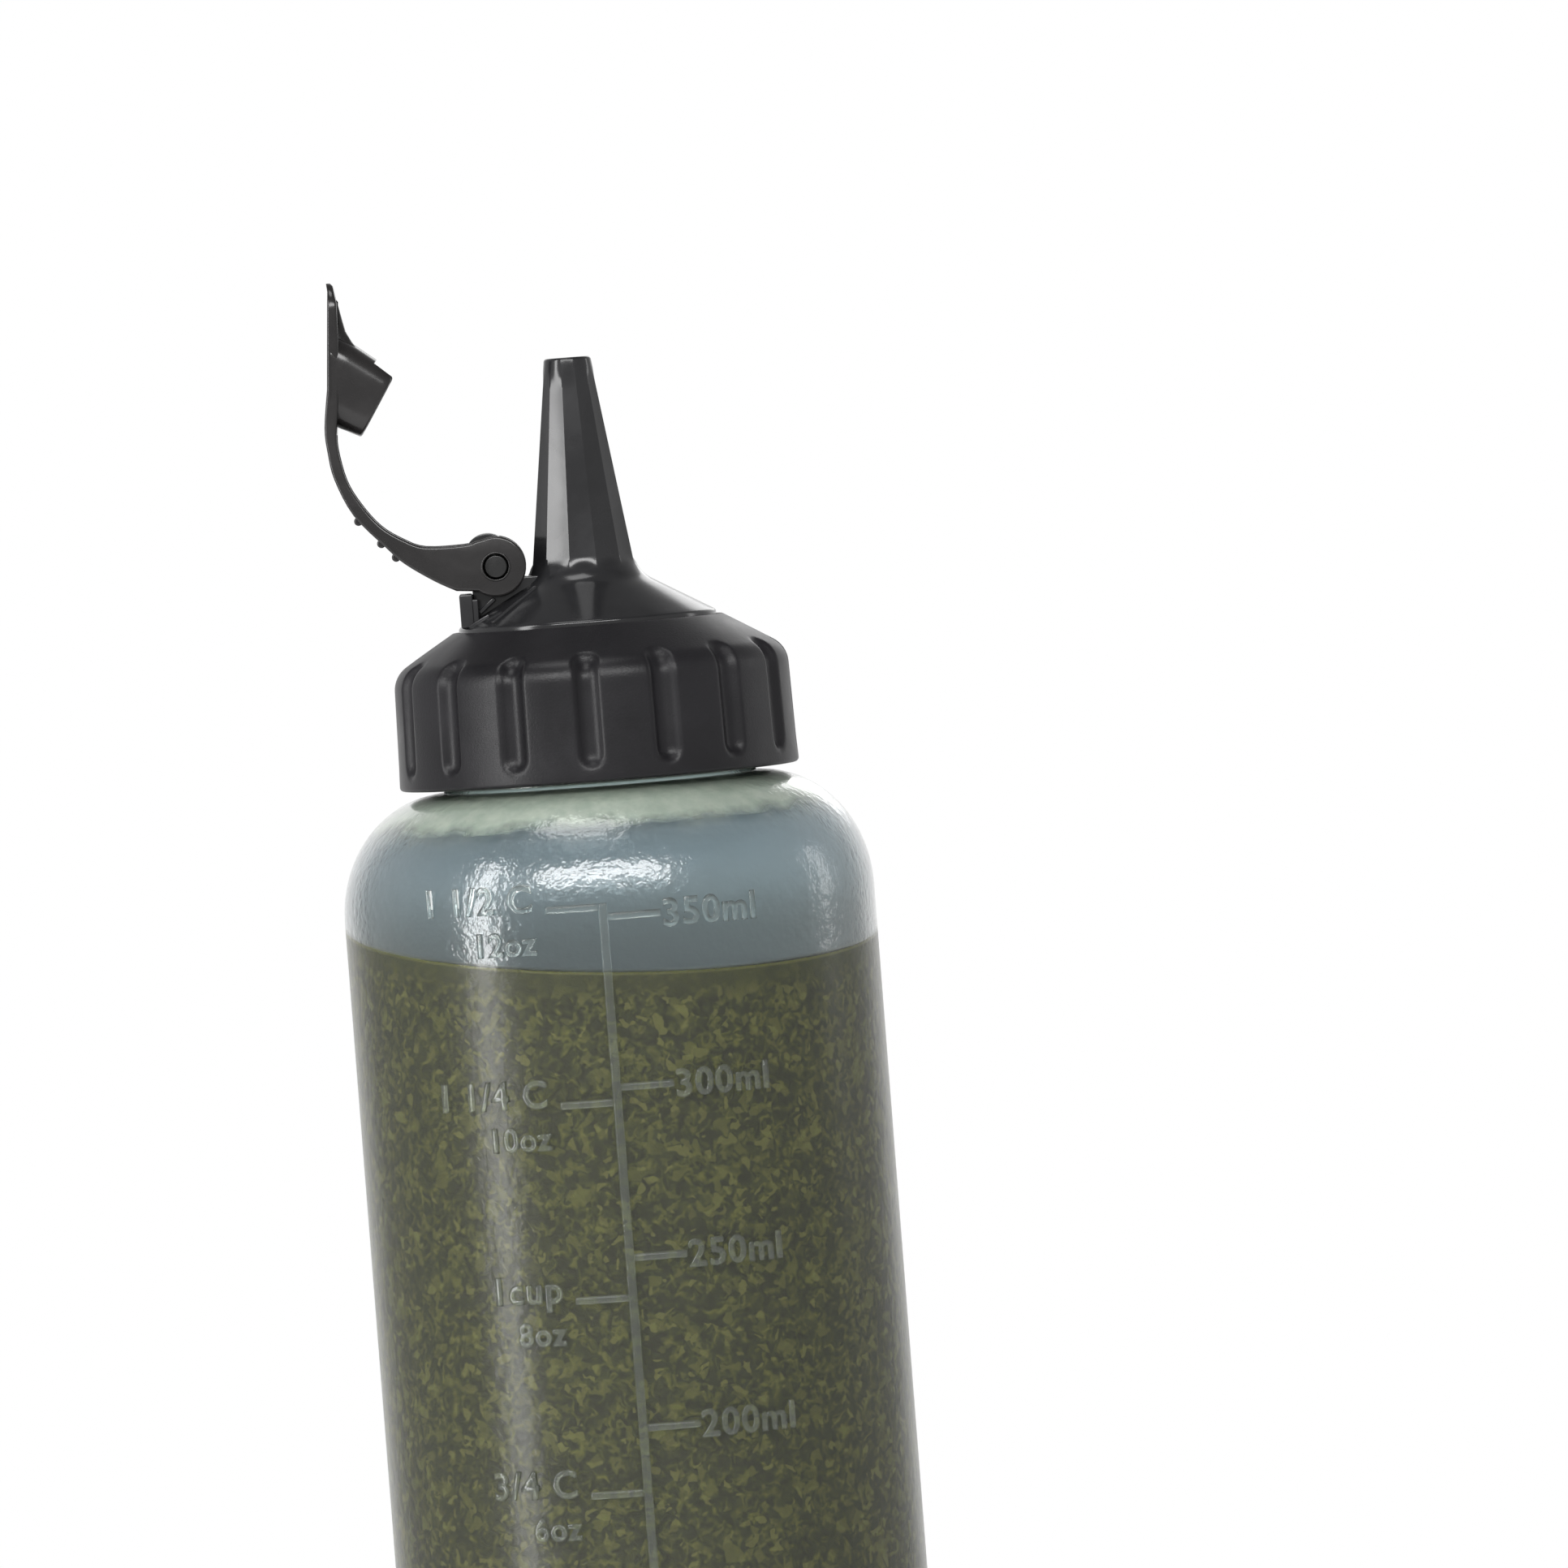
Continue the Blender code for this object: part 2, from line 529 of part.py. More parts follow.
def cap_profile():
    disc_top = RING_TOP + DISC_EDGE
    under_ring = RING_WALL + CLEARANCE
    cone_slope = (CONE_TOP - disc_top) / (DISC_RADIUS - CONE_TOP_RADIUS)
    outside = nozzle_outside()
    outside += [(DISC_RADIUS, disc_top),
                (DISC_RADIUS, slope_under_ring(DISC_RADIUS, under_ring)),
                (SKIRT_RADIUS, slope_under_ring(SKIRT_RADIUS, under_ring)),
                (SKIRT_RADIUS, SKIRT_BOTTOM)]
    disc_bore = DISC_RADIUS - DISC_WALL
    drop = ROOF_WALL * math.sqrt(1 + cone_slope ** 2)
    funnel_top = NOZZLE_FOOT_RADIUS - NOZZLE_WALL + CLEARANCE
    inside = [(SKIRT_BORE, SKIRT_BOTTOM),
              (SKIRT_BORE, ROOF_HEIGHT - ROOF_CHAMFER),
              (SKIRT_BORE - ROOF_CHAMFER, ROOF_HEIGHT),
              (disc_bore, ROOF_HEIGHT),
              (disc_bore, disc_top + (DISC_RADIUS - disc_bore) * cone_slope - drop),
              (funnel_top, disc_top + (DISC_RADIUS - funnel_top) * cone_slope - drop),
              (NOZZLE_FOOT_RADIUS - NOZZLE_WALL, NOZZLE_FOOT),
              (ORIFICE_RADIUS, NOZZLE_TOP - TIP_RADIUS),
              (ORIFICE_RADIUS, NOZZLE_TOP)]
    return outside + inside


def press_nozzle_flutes(mesh):
    """Moves the nozzle's outer points inwards between twelve ridges, so that each side is a long flat."""
    for vertex in mesh.vertices:
        radius = math.hypot(vertex.co.x, vertex.co.y)
        height = vertex.co.z
        if not NOZZLE_FLUTE_FOOT < height < NOZZLE_FLUTE_TOP:
            continue
        if radius < nozzle_radius(height) - NOZZLE_WALL / 2:
            continue
        fade_in = min(1.0, (height - NOZZLE_FLUTE_FOOT) / NOZZLE_FLUTE_FADE)
        fade_out = min(1.0, (NOZZLE_FLUTE_TOP - height) / NOZZLE_FLUTE_FADE)
        turn = math.atan2(vertex.co.y, vertex.co.x) / math.tau * NOZZLE_FLUTES
        across = 2 * ((turn + 0.5) % 1.0) - 1
        depth = NOZZLE_FLUTE_SHARE * radius * (1 - across ** 2) * fade_in * fade_out
        vertex.co.x *= 1 - depth / radius
        vertex.co.y *= 1 - depth / radius


def build_knuckle(guides):
    """The ribbed bulge of the cap's hinge, turned about Z and laid along Y."""
    spacing = 2 * KNUCKLE_HALF / KNUCKLE_RIBS
    groove = spacing * KNUCKLE_GROOVE_SHARE
    low = KNUCKLE_RADIUS - KNUCKLE_GROOVE
    line = [(0.0, KNUCKLE_HALF), (KNUCKLE_RADIUS, KNUCKLE_HALF)]
    for index in range(1, KNUCKLE_RIBS):
        middle = KNUCKLE_HALF - index * spacing
        line += [(KNUCKLE_RADIUS, middle + groove / 2), (low, middle + groove / 4),
                 (low, middle - groove / 4), (KNUCKLE_RADIUS, middle - groove / 2)]
    line += [(KNUCKLE_RADIUS, -KNUCKLE_HALF), (0.0, -KNUCKLE_HALF)]
    knuckle = settled(turned("knuckle", line, SMALL_STEPS, guides, closed=False))
    place = (PIN_X - KNUCKLE_OUT, 0.0, PIN_Z + KNUCKLE_UP)
    knuckle.data.transform(Matrix.Translation(place) @ Matrix.Rotation(math.radians(90.0), 4, "X"))
    return knuckle


def build_spout_cap(parts, guides, material):
    cap = settled(turned("spout_cap", cap_profile(), CAP_STEPS, parts, material))
    press_nozzle_flutes(cap.data)
    neck_side = PIN_X - BARREL_RADIUS + CLEARANCE
    block_half = KNUCKLE_HALF - CLEARANCE
    block = box("hinge_block", (neck_side, -block_half, RING_TOP - DISC_WALL / 2),
                (-(NOZZLE_FOOT_RADIUS - NOZZLE_WALL / 2), block_half, NOZZLE_FOOT), guides)
    wall = box("stop_wall", (TOWER_FACE, -COVER_HALF, RING_TOP + CLEARANCE),
               (TOWER_FACE + TOWER_WALL, COVER_HALF, TOWER_SEAT), guides, TOWER_BEVEL)
    combine(cap, block, "UNION")
    combine(cap, wall, "UNION")
    barrel = rod("hinge_barrel", BARREL_RADIUS, KNUCKLE_HALF - CLEARANCE / 2, (PIN_X, 0.0, PIN_Z), guides)
    combine(cap, barrel, "UNION")
    combine(cap, build_knuckle(guides), "UNION")
    combine(cap, key_blocks("torque_keys", 0.0, guides), "UNION")
    bore = rod("knuckle_bore", PIN_BORE, KNUCKLE_HALF + OVERRUN, (PIN_X, 0.0, PIN_Z), guides)
    combine(cap, bore, "DIFFERENCE")
    return cap


def build_pin(parts, material):
    """The pin, thicker inside the knuckle than in the ears that snap over its ends."""
    half = COVER_HALF - PIN_RECESS
    end = [(0.0, half), (PIN_END_RADIUS - PIN_END_BEVEL, half), (PIN_END_RADIUS, half - PIN_END_BEVEL),
           (PIN_END_RADIUS, KNUCKLE_HALF), (PIN_RADIUS, KNUCKLE_HALF)]
    line = end + [(radius, -height) for radius, height in end[::-1]]
    pin = turned("hinge_pin", line, SMALL_STEPS, parts, material, closed=False)
    pin.location = (PIN_X, 0.0, PIN_Z)
    pin.rotation_euler = (math.radians(90.0), 0.0, 0.0)
    return pin


def from_shares(shares):
    return [(TIP_REACH * across, TIP_RISE * up) for across, up in shares]


def cover_outline():
    """The closed cover seen along the pin: ear, inner edge, cup head, tab and outer edge."""
    inner = smooth_line(from_shares(INNER_EDGE_SHARES), EDGE_STEPS)
    outer = smooth_line(from_shares(OUTER_EDGE_SHARES), EDGE_STEPS)
    ear_start = math.atan2(outer[0][1], outer[0][0]) + HEEL_TURN
    ear_end = math.atan2(inner[0][1], inner[0][0]) + math.tau
    ear = arc((0.0, 0.0), (EAR_RADIUS, EAR_RADIUS), ear_start, ear_end - EAR_BLEND, 4 * ARC_STEPS)
    head_side = TIP_REACH + CUP_HALF_LENGTH
    head = [(head_side - CUP_WALL / 2, inner[-1][1] + CUP_WALL / 2)]
    under = from_shares(TAB_UNDER_SHARES)[::-1]
    tip = from_shares(TAB_TIP_SHARES)[::-1]
    top = from_shares(TAB_TOP_SHARES)
    return ear + inner + head + under + tip + top + outer[::-1]


def pocket_outline():
    """What is cut from between the arm's two sides, down to the web along its outer edge."""
    outer = smooth_line(from_shares(OUTER_EDGE_SHARES), EDGE_STEPS)
    web = []
    beyond = TIP_REACH - CUP_HALF_LENGTH - CUP_WALL
    for before, here, after in zip(outer, outer[1:], outer[2:]):
        if here[0] > beyond:
            break
        along = Vector((after[0] - before[0], after[1] - before[1])).normalized()
        web.append((here[0] + along.y * WEB_WALL, here[1] - along.x * WEB_WALL))
    return [(0.0, 0.0), (beyond, EAR_RADIUS), (beyond, web[-1][1])] + web[::-1]


def build_tip_cover(parts, guides, material):
    cover = prism("tip_cover", cover_outline(), COVER_HALF, parts, COVER_DRAFT_SHARE)
    cover.data.materials.append(material)
    rim = TIP_RISE - CUP_LAP
    head = TIP_RISE + CUP_HEAD
    half = CUP_HALF_LENGTH
    cup = box("cup_outside", (TIP_REACH - half, -CUP_HALF_WIDTH, rim),
              (TIP_REACH + half, CUP_HALF_WIDTH, head), guides, CUP_CORNER, vertical_only=True)
    chamfer_rim(cup.data, rim)
    room = half - CUP_WALL
    side_room = CUP_HALF_WIDTH - CUP_WALL
    cavity = box("cup_inside", (TIP_REACH - room, -side_room, rim - OVERRUN),
                 (TIP_REACH + room, side_room, TIP_RISE + CUP_ROOM), guides,
                 CUP_CORNER - CUP_WALL / 2, vertical_only=True)
    boss_low = TIP_RISE + CLEARANCE
    boss_high = TIP_RISE + CUP_ROOM + CUP_WALL / 2
    boss = rod("seal_boss", SEAL_BOSS_RADIUS, (boss_high - boss_low) / 2,
               (TIP_REACH, 0.0, (boss_high + boss_low) / 2), guides, axis="Z")
    notch_half = TIP_RADIUS + NOTCH_MARGIN
    notch = box("tip_notch", (TIP_REACH + TIP_RADIUS / 2, -notch_half, rim - OVERRUN),
                (TIP_REACH + half + OVERRUN, notch_half, TIP_RISE), guides)
    pocket = prism("arm_pocket", pocket_outline(), SLOT_HALF, guides, COVER_DRAFT_SHARE)
    slot = rod("knuckle_slot", SLOT_RADIUS, SLOT_HALF, (0.0, 0.0, 0.0), guides)
    bore = rod("ear_bore", EAR_BORE, COVER_HALF + OVERRUN, (0.0, 0.0, 0.0), guides)
    combine(cover, pocket, "DIFFERENCE")
    combine(cover, slot, "DIFFERENCE")
    combine(cover, bore, "DIFFERENCE")
    combine(cover, cup, "UNION")
    combine(cover, cavity, "DIFFERENCE")
    combine(cover, notch, "DIFFERENCE")
    combine(cover, boss, "UNION")
    combine(cover, ridges(guides), "UNION")
    combine(cover, tab_keeper(guides), "INTERSECT")
    for tool in (cup, cavity, boss, notch, pocket, slot, bore, bpy.data.objects["thumb_ridges"],
                 bpy.data.objects["tab_keeper"]):
        tool.parent = cover
    cover.location = (PIN_X, 0.0, PIN_Z)
    cover.rotation_euler = (0.0, -COVER_OPEN, 0.0)
    return cover


def chamfer_rim(mesh, rim):
    """Cuts the cup's outer corner at its rim."""
    build = bmesh.new()
    build.from_mesh(mesh)
    edges = [edge for edge in build.edges
             if all(abs(vertex.co.z - rim) < MERGE for vertex in edge.verts)]
    bmesh.ops.bevel(build, geom=edges, offset=CUP_RIM_CHAMFER, segments=1, affect="EDGES")
    build.to_mesh(mesh)
    build.free()


def ridges(guides):
    """Three thumb ridges across the knee of the arm."""
    outer = smooth_line(from_shares(OUTER_EDGE_SHARES), EDGE_STEPS)
    sink = RIDGE_RADIUS * RIDGE_SINK_SHARE
    meshes = []
    for share in RIDGE_PLACE_SHARES:
        place = share * (len(outer) - 1)
        index = int(place)
        part = place - index
        start, end = Vector(outer[index]), Vector(outer[index + 1])
        along = (end - start).normalized()
        here = start.lerp(end, part) + Vector((along.y, -along.x)) * sink
        half = COVER_HALF - EAR_WALL / 2 - COVER_DRAFT_SHARE * here.y
        one = rod("one_ridge", RIDGE_RADIUS, half, (here.x, 0.0, here.y), guides, steps=12)
        meshes.append(one.data.copy())
        bpy.data.objects.remove(one, do_unlink=True)
    return join_copies("thumb_ridges", meshes, guides)


def tab_keeper(guides):
    """Everything but the two corners at the end of the tab, which it rounds."""
    tip = from_shares(TAB_TIP_SHARES)[1]
    top = from_shares(TAB_TOP_SHARES)[0]
    knee = from_shares(OUTER_EDGE_SHARES)[-1]
    along = Vector((top[0] - knee[0], 0.0, top[1] - knee[1])).normalized()
    across = Vector((0.0, 1.0, 0.0))
    up = along.cross(across)
    place = Matrix((along, across, up)).transposed().to_4x4()
    place.translation = (tip[0], 0.0, tip[1])
    reach = 4 * COVER_WIDTH
    build = bmesh.new()
    half = COVER_HALF
    back = -reach
    front = OVERRUN / 10
    tab_half = half - COVER_DRAFT_SHARE * tip[1]
    rounding = TAB_ROUNDING_SHARE * tab_half
    line = [(back, -half), (front - rounding, -half)]
    line += [(front - rounding, -tab_half)]
    line += arc((front - rounding, -(tab_half - rounding)), (rounding, rounding),
                math.radians(-90.0), 0.0, ARC_STEPS)[1:]
    line += [(x, -y) for x, y in line[::-1]]
    low = [build.verts.new((x, y, -reach)) for x, y in line]
    high = [build.verts.new((x, y, reach)) for x, y in line]
    build.faces.new(low)
    build.faces.new(high)
    for index in range(len(line)):
        after = (index + 1) % len(line)
        build.faces.new((low[index], low[after], high[after], high[index]))
    bmesh.ops.recalc_face_normals(build, faces=build.faces)
    build.transform(place)
    mesh = bpy.data.meshes.new("tab_keeper")
    build.to_mesh(mesh)
    build.free()
    return add_object("tab_keeper", mesh, guides)


def main():
    clear_scene()
    parts = new_collection(OBJECT_NAME)
    guides = new_collection("cutters")
    frosted = plastic("frosted_polythene", (0.62, 0.68, 0.66), 0.35, transmission=0.7)
    sauce = plastic("herb_dressing", (0.09, 0.10, 0.045), 0.6)
    silicone = plastic("seal_silicone", (0.75, 0.75, 0.72), 0.5)
    gloss = plastic("gloss_black_plastic", (0.012, 0.012, 0.013), 0.18)
    cover_gloss = plastic("cover_black_plastic", (0.012, 0.011, 0.011), 0.16)
    soft = plastic("soft_black_grip", (0.022, 0.021, 0.025), 0.55)
    pin_plastic = plastic("pin_black_plastic", (0.010, 0.010, 0.010), 0.3)
    build_bottle(parts, frosted)
    build_contents(parts, guides, sauce)
    build_washer(parts, silicone)
    build_spout_cap(parts, guides, gloss)
    build_grip_ring(parts, guides, soft)
    build_pin(parts, pin_plastic)
    build_tip_cover(parts, guides, cover_gloss)
    bpy.context.view_layer.update()


main()
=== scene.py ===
# %% [markdown]
# A squeeze bottle full of herb dressing, with a screwed black cap, a soft grip ring and a flip cover.
# The measured model comes in first and stays as it is. It gives the true place of every moulded piece,
# so whatever is added later can be set down by its sizes and needs no fitting by eye.

import json
import math

import bpy
from mathutils import Matrix, Vector


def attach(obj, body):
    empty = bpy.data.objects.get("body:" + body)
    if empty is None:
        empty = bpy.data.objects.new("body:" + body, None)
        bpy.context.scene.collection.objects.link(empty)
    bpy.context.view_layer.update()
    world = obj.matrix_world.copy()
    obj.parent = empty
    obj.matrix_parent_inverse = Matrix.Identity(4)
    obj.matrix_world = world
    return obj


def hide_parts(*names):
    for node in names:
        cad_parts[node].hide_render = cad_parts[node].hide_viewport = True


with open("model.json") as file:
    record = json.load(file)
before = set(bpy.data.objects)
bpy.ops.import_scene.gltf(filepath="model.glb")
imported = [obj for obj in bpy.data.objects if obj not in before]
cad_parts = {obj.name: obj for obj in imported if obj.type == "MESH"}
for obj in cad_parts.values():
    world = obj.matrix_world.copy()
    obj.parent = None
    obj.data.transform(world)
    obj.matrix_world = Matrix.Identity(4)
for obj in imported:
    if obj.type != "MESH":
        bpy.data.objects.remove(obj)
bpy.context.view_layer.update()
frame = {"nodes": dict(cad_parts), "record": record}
nodes = frame["nodes"]
MM = 0.001

# %% [markdown]
# The camera looks almost level, a little from above, and leans with the bottle by a few degrees. A long
# distance and a narrow angle keep the bottle's sides nearly parallel. Its place could be given as three
# turns, but an eye, a target and an upward direction are easier to read and to correct.

# %% Camera
EYE = Vector((-0.005, -1.4, 0.196))
TARGET = Vector((0.0206, 0.0, 0.1528))
UPWARD = Vector((0.0776, 0.0, 0.997))
HALF_VIEW = 0.0882  # half of the width that the view takes in at the target


def aim(eye, target, upward):
    """The matrix that puts an object at eye, facing target along its own -Z."""
    forward = (target - eye).normalized()
    right = forward.cross(upward).normalized()
    up = right.cross(forward)
    place = Matrix((right, up, -forward)).transposed().to_4x4()
    place.translation = eye
    return place


camera_data = bpy.data.cameras.new("camera")
camera = bpy.data.objects.new("camera", camera_data)
bpy.context.scene.collection.objects.link(camera)
camera.matrix_world = aim(EYE, TARGET, UPWARD)
camera_data.angle = 2 * math.atan(HALF_VIEW / (TARGET - EYE).length)
camera_data.clip_end = 10.0
bpy.context.scene.camera = camera
print("camera angle in degrees:", round(math.degrees(camera_data.angle), 2))

# %% [markdown]
# A black glossy moulding shows mostly what it reflects, so its light matters more than its colour. A tall
# soft lamp on the left draws the bright stripe down the nozzle, and weaker ones light the right and the
# top. The white ground is the world itself. Reflections see it white behind the object and dim in front,
# as in a studio with one white wall, so the black stays black and its outline still catches light.

# %% Lamps
scene = bpy.context.scene
scene.view_settings.view_transform = "Standard"
LAMPS = (
    # name, place, width, height, power in watts
    ("left_softbox", (-0.80, -0.50, 0.36), 0.19, 1.00, 5.6),
    ("right_softbox", (0.95, 0.28, 0.30), 0.14, 0.40, 0.4),
    ("back_softbox", (0.26, 0.92, 0.48), 0.24, 0.40, 0.42),
    ("top_softbox", (-0.10, -0.15, 1.00), 0.40, 0.30, 1.4),
    ("front_softbox", (-0.05, -0.90, 0.72), 1.10, 0.24, 8.6),
)
LAMP_TARGET = Vector((0.0, 0.0, 0.15))

for name, place, width, height, power in LAMPS:
    lamp_data = bpy.data.lights.new(name, "AREA")
    lamp_data.shape = "RECTANGLE"
    lamp_data.size = width
    lamp_data.size_y = height
    lamp_data.energy = power
    lamp = bpy.data.objects.new(name, lamp_data)
    scene.collection.objects.link(lamp)
    lamp.matrix_world = aim(Vector(place), LAMP_TARGET, Vector((0.0, 0.01, 1.0)))
print("lamps:", len(LAMPS))

# %% [markdown]
# World, plastics and sauce are all built from nodes. A few short functions make and link them, so that a
# material reads as a list of what feeds what. The same trees could be drawn by hand in the shader editor,
# but there a number that two materials share would have to be kept in step by eye.

# %% Helpers for node trees
def feed(tree, value, socket):
    """Links a socket to another node's output, or gives it a plain value."""
    if isinstance(value, bpy.types.NodeSocket):
        tree.links.new(value, socket)
    else:
        socket.default_value = value


def put(tree, kind, inputs=None, **settings):
    """Adds a node, sets its options by name, and feeds its inputs by name or number."""
    node = tree.nodes.new(kind)
    for name, value in settings.items():
        setattr(node, name, value)
    for name, value in (inputs or {}).items():
        feed(tree, value, node.inputs[name])
    return node


def figure(tree, operation, *values):
    """The result of a Math node."""
    return put(tree, "ShaderNodeMath", dict(enumerate(values)), operation=operation).outputs[0]


def slope(tree, source, start, end, low=0.0, high=1.0):
    """Goes from low to high while source goes from start to end."""
    values = {"Value": source, "From Min": start, "From Max": end, "To Min": low, "To Max": high}
    return put(tree, "ShaderNodeMapRange", values).outputs[0]


def between(tree, share, first, second):
    """A number between two others."""
    return put(tree, "ShaderNodeMix", {0: share, 2: first, 3: second}, data_type="FLOAT").outputs[0]


def blend(tree, share, first, second, **settings):
    """A colour between two others, each a socket or three numbers."""
    first, second = (colour if isinstance(colour, bpy.types.NodeSocket) else (*colour, 1.0)
                     for colour in (first, second))
    values = {0: share, 6: first, 7: second}
    return put(tree, "ShaderNodeMix", values, data_type="RGBA", **settings).outputs[2]


def ramp(tree, source, stops):
    """A colour from a ramp with stops as (place, colour)."""
    node = put(tree, "ShaderNodeValToRGB", {"Fac": source})
    elements = node.color_ramp.elements
    while len(elements) < len(stops):
        elements.new(0.5)
    for element, (place, colour) in zip(elements, stops):
        element.position = place
        element.color = (*colour, 1.0)
    return node.outputs["Color"]


def noise(tree, place, scale, detail, roughness=0.5, distortion=0.0):
    """A noise pattern from 0 to 1."""
    values = {"Vector": place, "Scale": scale, "Detail": detail, "Roughness": roughness,
              "Distortion": distortion}
    return put(tree, "ShaderNodeTexNoise", values).outputs[0]


def bumps(tree, height, distance):
    """A normal that stands up and down with a height."""
    return put(tree, "ShaderNodeBump", {"Height": height, "Distance": distance}).outputs[0]


def new_group(name, inputs, output):
    """A node group's tree, its inputs as sockets by name, and the socket that takes its result."""
    group = bpy.data.node_groups.new(name, "ShaderNodeTree")
    group.interface.new_socket("Vector", in_out="INPUT", socket_type="NodeSocketVector")
    for label, value in inputs.items():
        socket = group.interface.new_socket(label, in_out="INPUT", socket_type="NodeSocketFloat")
        socket.default_value = value
    group.interface.new_socket(output, in_out="OUTPUT", socket_type="NodeSocketFloat")
    return group, put(group, "NodeGroupInput").outputs, put(group, "NodeGroupOutput").inputs[output]


def use(tree, group, place, values):
    """What a node group gives at a place."""
    return put(tree, "ShaderNodeGroup", {"Vector": place, **values}, node_tree=group).outputs[0]


def new_material(name, values):
    """A material, its node tree, its shader's inputs, and the place on the object as a socket."""
    material = bpy.data.materials.new(name)
    material.use_nodes = True
    shader = material.node_tree.nodes["Principled BSDF"].inputs
    for label, value in values.items():
        shader[label].default_value = value
    place = put(material.node_tree, "ShaderNodeTexCoord").outputs["Object"]
    return material, material.node_tree, shader, place


# %% World: light on the object, white behind it, and what its gloss reflects
WORLD_LIGHT = 0.45  # on the object, from all sides
ROOM_SHINE = 0.60  # what a reflection sees of the room, where white is 1
TOP_SHINE = 0.18  # the same overhead
world = bpy.data.worlds.new("studio")
world.use_nodes = True
scene.world = world
tree = world.node_tree
background = tree.nodes["Background"].inputs
rays = put(tree, "ShaderNodeLightPath").outputs
direction = put(tree, "ShaderNodeTexCoord").outputs["Generated"]
axes = put(tree, "ShaderNodeSeparateXYZ", {"Vector": direction}).outputs
back_wall = figure(tree, "MULTIPLY", slope(tree, axes["Y"], 0.50, 0.85), slope(tree, axes["Z"], 0.75, 0.40))
room = slope(tree, axes["Z"], 0.75, 0.35, TOP_SHINE, ROOM_SHINE)
shine = figure(tree, "MAXIMUM", room, back_wall)
on_object = between(tree, rays["Is Glossy Ray"], WORLD_LIGHT, shine)
looked_at = figure(tree, "MAXIMUM", rays["Is Camera Ray"], rays["Is Transmission Ray"])
seen = figure(tree, "MULTIPLY", looked_at, figure(tree, "LESS_THAN", rays["Diffuse Depth"], 0.5))
feed(tree, (1.0, 1.0, 1.0, 1.0), background["Color"])
feed(tree, between(tree, seen, on_object, 1.0), background["Strength"])
print("world light", WORLD_LIGHT, "and shine", ROOM_SHINE)

# %% [markdown]
# The floor is a plain pale disc. It is an operator's circle, filled, and it ends before the place where
# the camera's lowest ray would meet it, so the photograph's plain white ground stays plain.

# %% Helpers that add an object
def leave_edit():
    """Goes back to object mode from edit mode."""
    if bpy.context.object is not None and bpy.context.object.mode != "OBJECT":
        bpy.ops.object.mode_set(mode="OBJECT")


def fresh(operator, location=(0, 0, 0), **settings):
    """Runs an operator that adds an object, with nothing selected before, and gives that object."""
    leave_edit()
    bpy.ops.object.select_all(action="DESELECT")
    operator(location=location, **settings)
    return bpy.context.object


# %% Floor
FLOOR_RADIUS = 0.55
floor = fresh(bpy.ops.mesh.primitive_circle_add, vertices=96, radius=FLOOR_RADIUS, fill_type="NGON")
floor.name = "floor"
floor.data.materials.append(
    new_material("pale_floor", {"Base Color": (0.86, 0.86, 0.86, 1.0), "Roughness": 0.9})[0])
print("floor radius in m:", FLOOR_RADIUS)

# %% [markdown]
# Every finish below is built from Blender's own patterns. Two effects serve several plastics: a fine skin,
# as a steel mould leaves it, and faint smudges from handling. Each is a node group with named inputs, so
# a plastic takes the same group with values of its own. Copying nodes by hand would give the same look,
# but a change would then have to be made in every plastic.

# %% Group: the fine skin of a moulding
skin, given, result = new_group("moulded_skin", {"Grain Scale": 2500.0, "Wave Scale": 120.0,
                                                 "Wave Share": 0.5}, "Height")
grain = noise(skin, given["Vector"], given["Grain Scale"], 2.0, 0.6)
wave = noise(skin, given["Vector"], given["Wave Scale"], 2.0)
feed(skin, between(skin, given["Wave Share"], grain, wave), result)
print("group", skin.name, "with", len(skin.nodes), "nodes")

# %% Group: faint smudges of handling
smudge, given, result = new_group("handling_smudges", {"Size": 60.0, "Clean": 0.15, "Dull": 0.30},
                                  "Roughness")
cloud = noise(smudge, given["Vector"], given["Size"], 5.0, 0.62, 0.6)
feed(smudge, slope(smudge, cloud, 0.35, 0.70, given["Clean"], given["Dull"]), result)
print("group", smudge.name, "with", len(smudge.nodes), "nodes")

# %% [markdown]
# Four black plastics and the pale silicone of the seal differ in gloss and grain. The cap and the cover
# are polished mouldings whose reflections stay sharp. The grip ring is a soft rubbery moulding with an
# even satin skin. A table of values and one function make them all, which keeps their differences easy
# to see and to tune.

# %% Plastics
PLASTICS = {
    # name: colour, index of refraction, clean and dull roughness, smudge size, grain scale, wave scale,
    # wave share, bump height
    "gloss_black": ((0.013, 0.013, 0.014), 1.50, 0.10, 0.22, 90.0, 3000.0, 160.0, 0.75, 0.003 * MM),
    "cover_black": ((0.014, 0.013, 0.013), 1.50, 0.13, 0.26, 110.0, 3000.0, 200.0, 0.70, 0.003 * MM),
    "soft_grip": ((0.0075, 0.0070, 0.0085), 1.38, 0.33, 0.46, 70.0, 4200.0, 260.0, 0.30, 0.030 * MM),
    "pin_black": ((0.010, 0.010, 0.010), 1.50, 0.20, 0.34, 300.0, 5000.0, 600.0, 0.50, 0.006 * MM),
    "seal_silicone": ((0.60, 0.60, 0.57), 1.42, 0.45, 0.60, 150.0, 3000.0, 300.0, 0.50, 0.012 * MM),
}
CLEAN_SHADE = 0.85  # how much of its colour a plastic shows where it is clean
DULL_SHADE = 1.35  # the same in a smudge


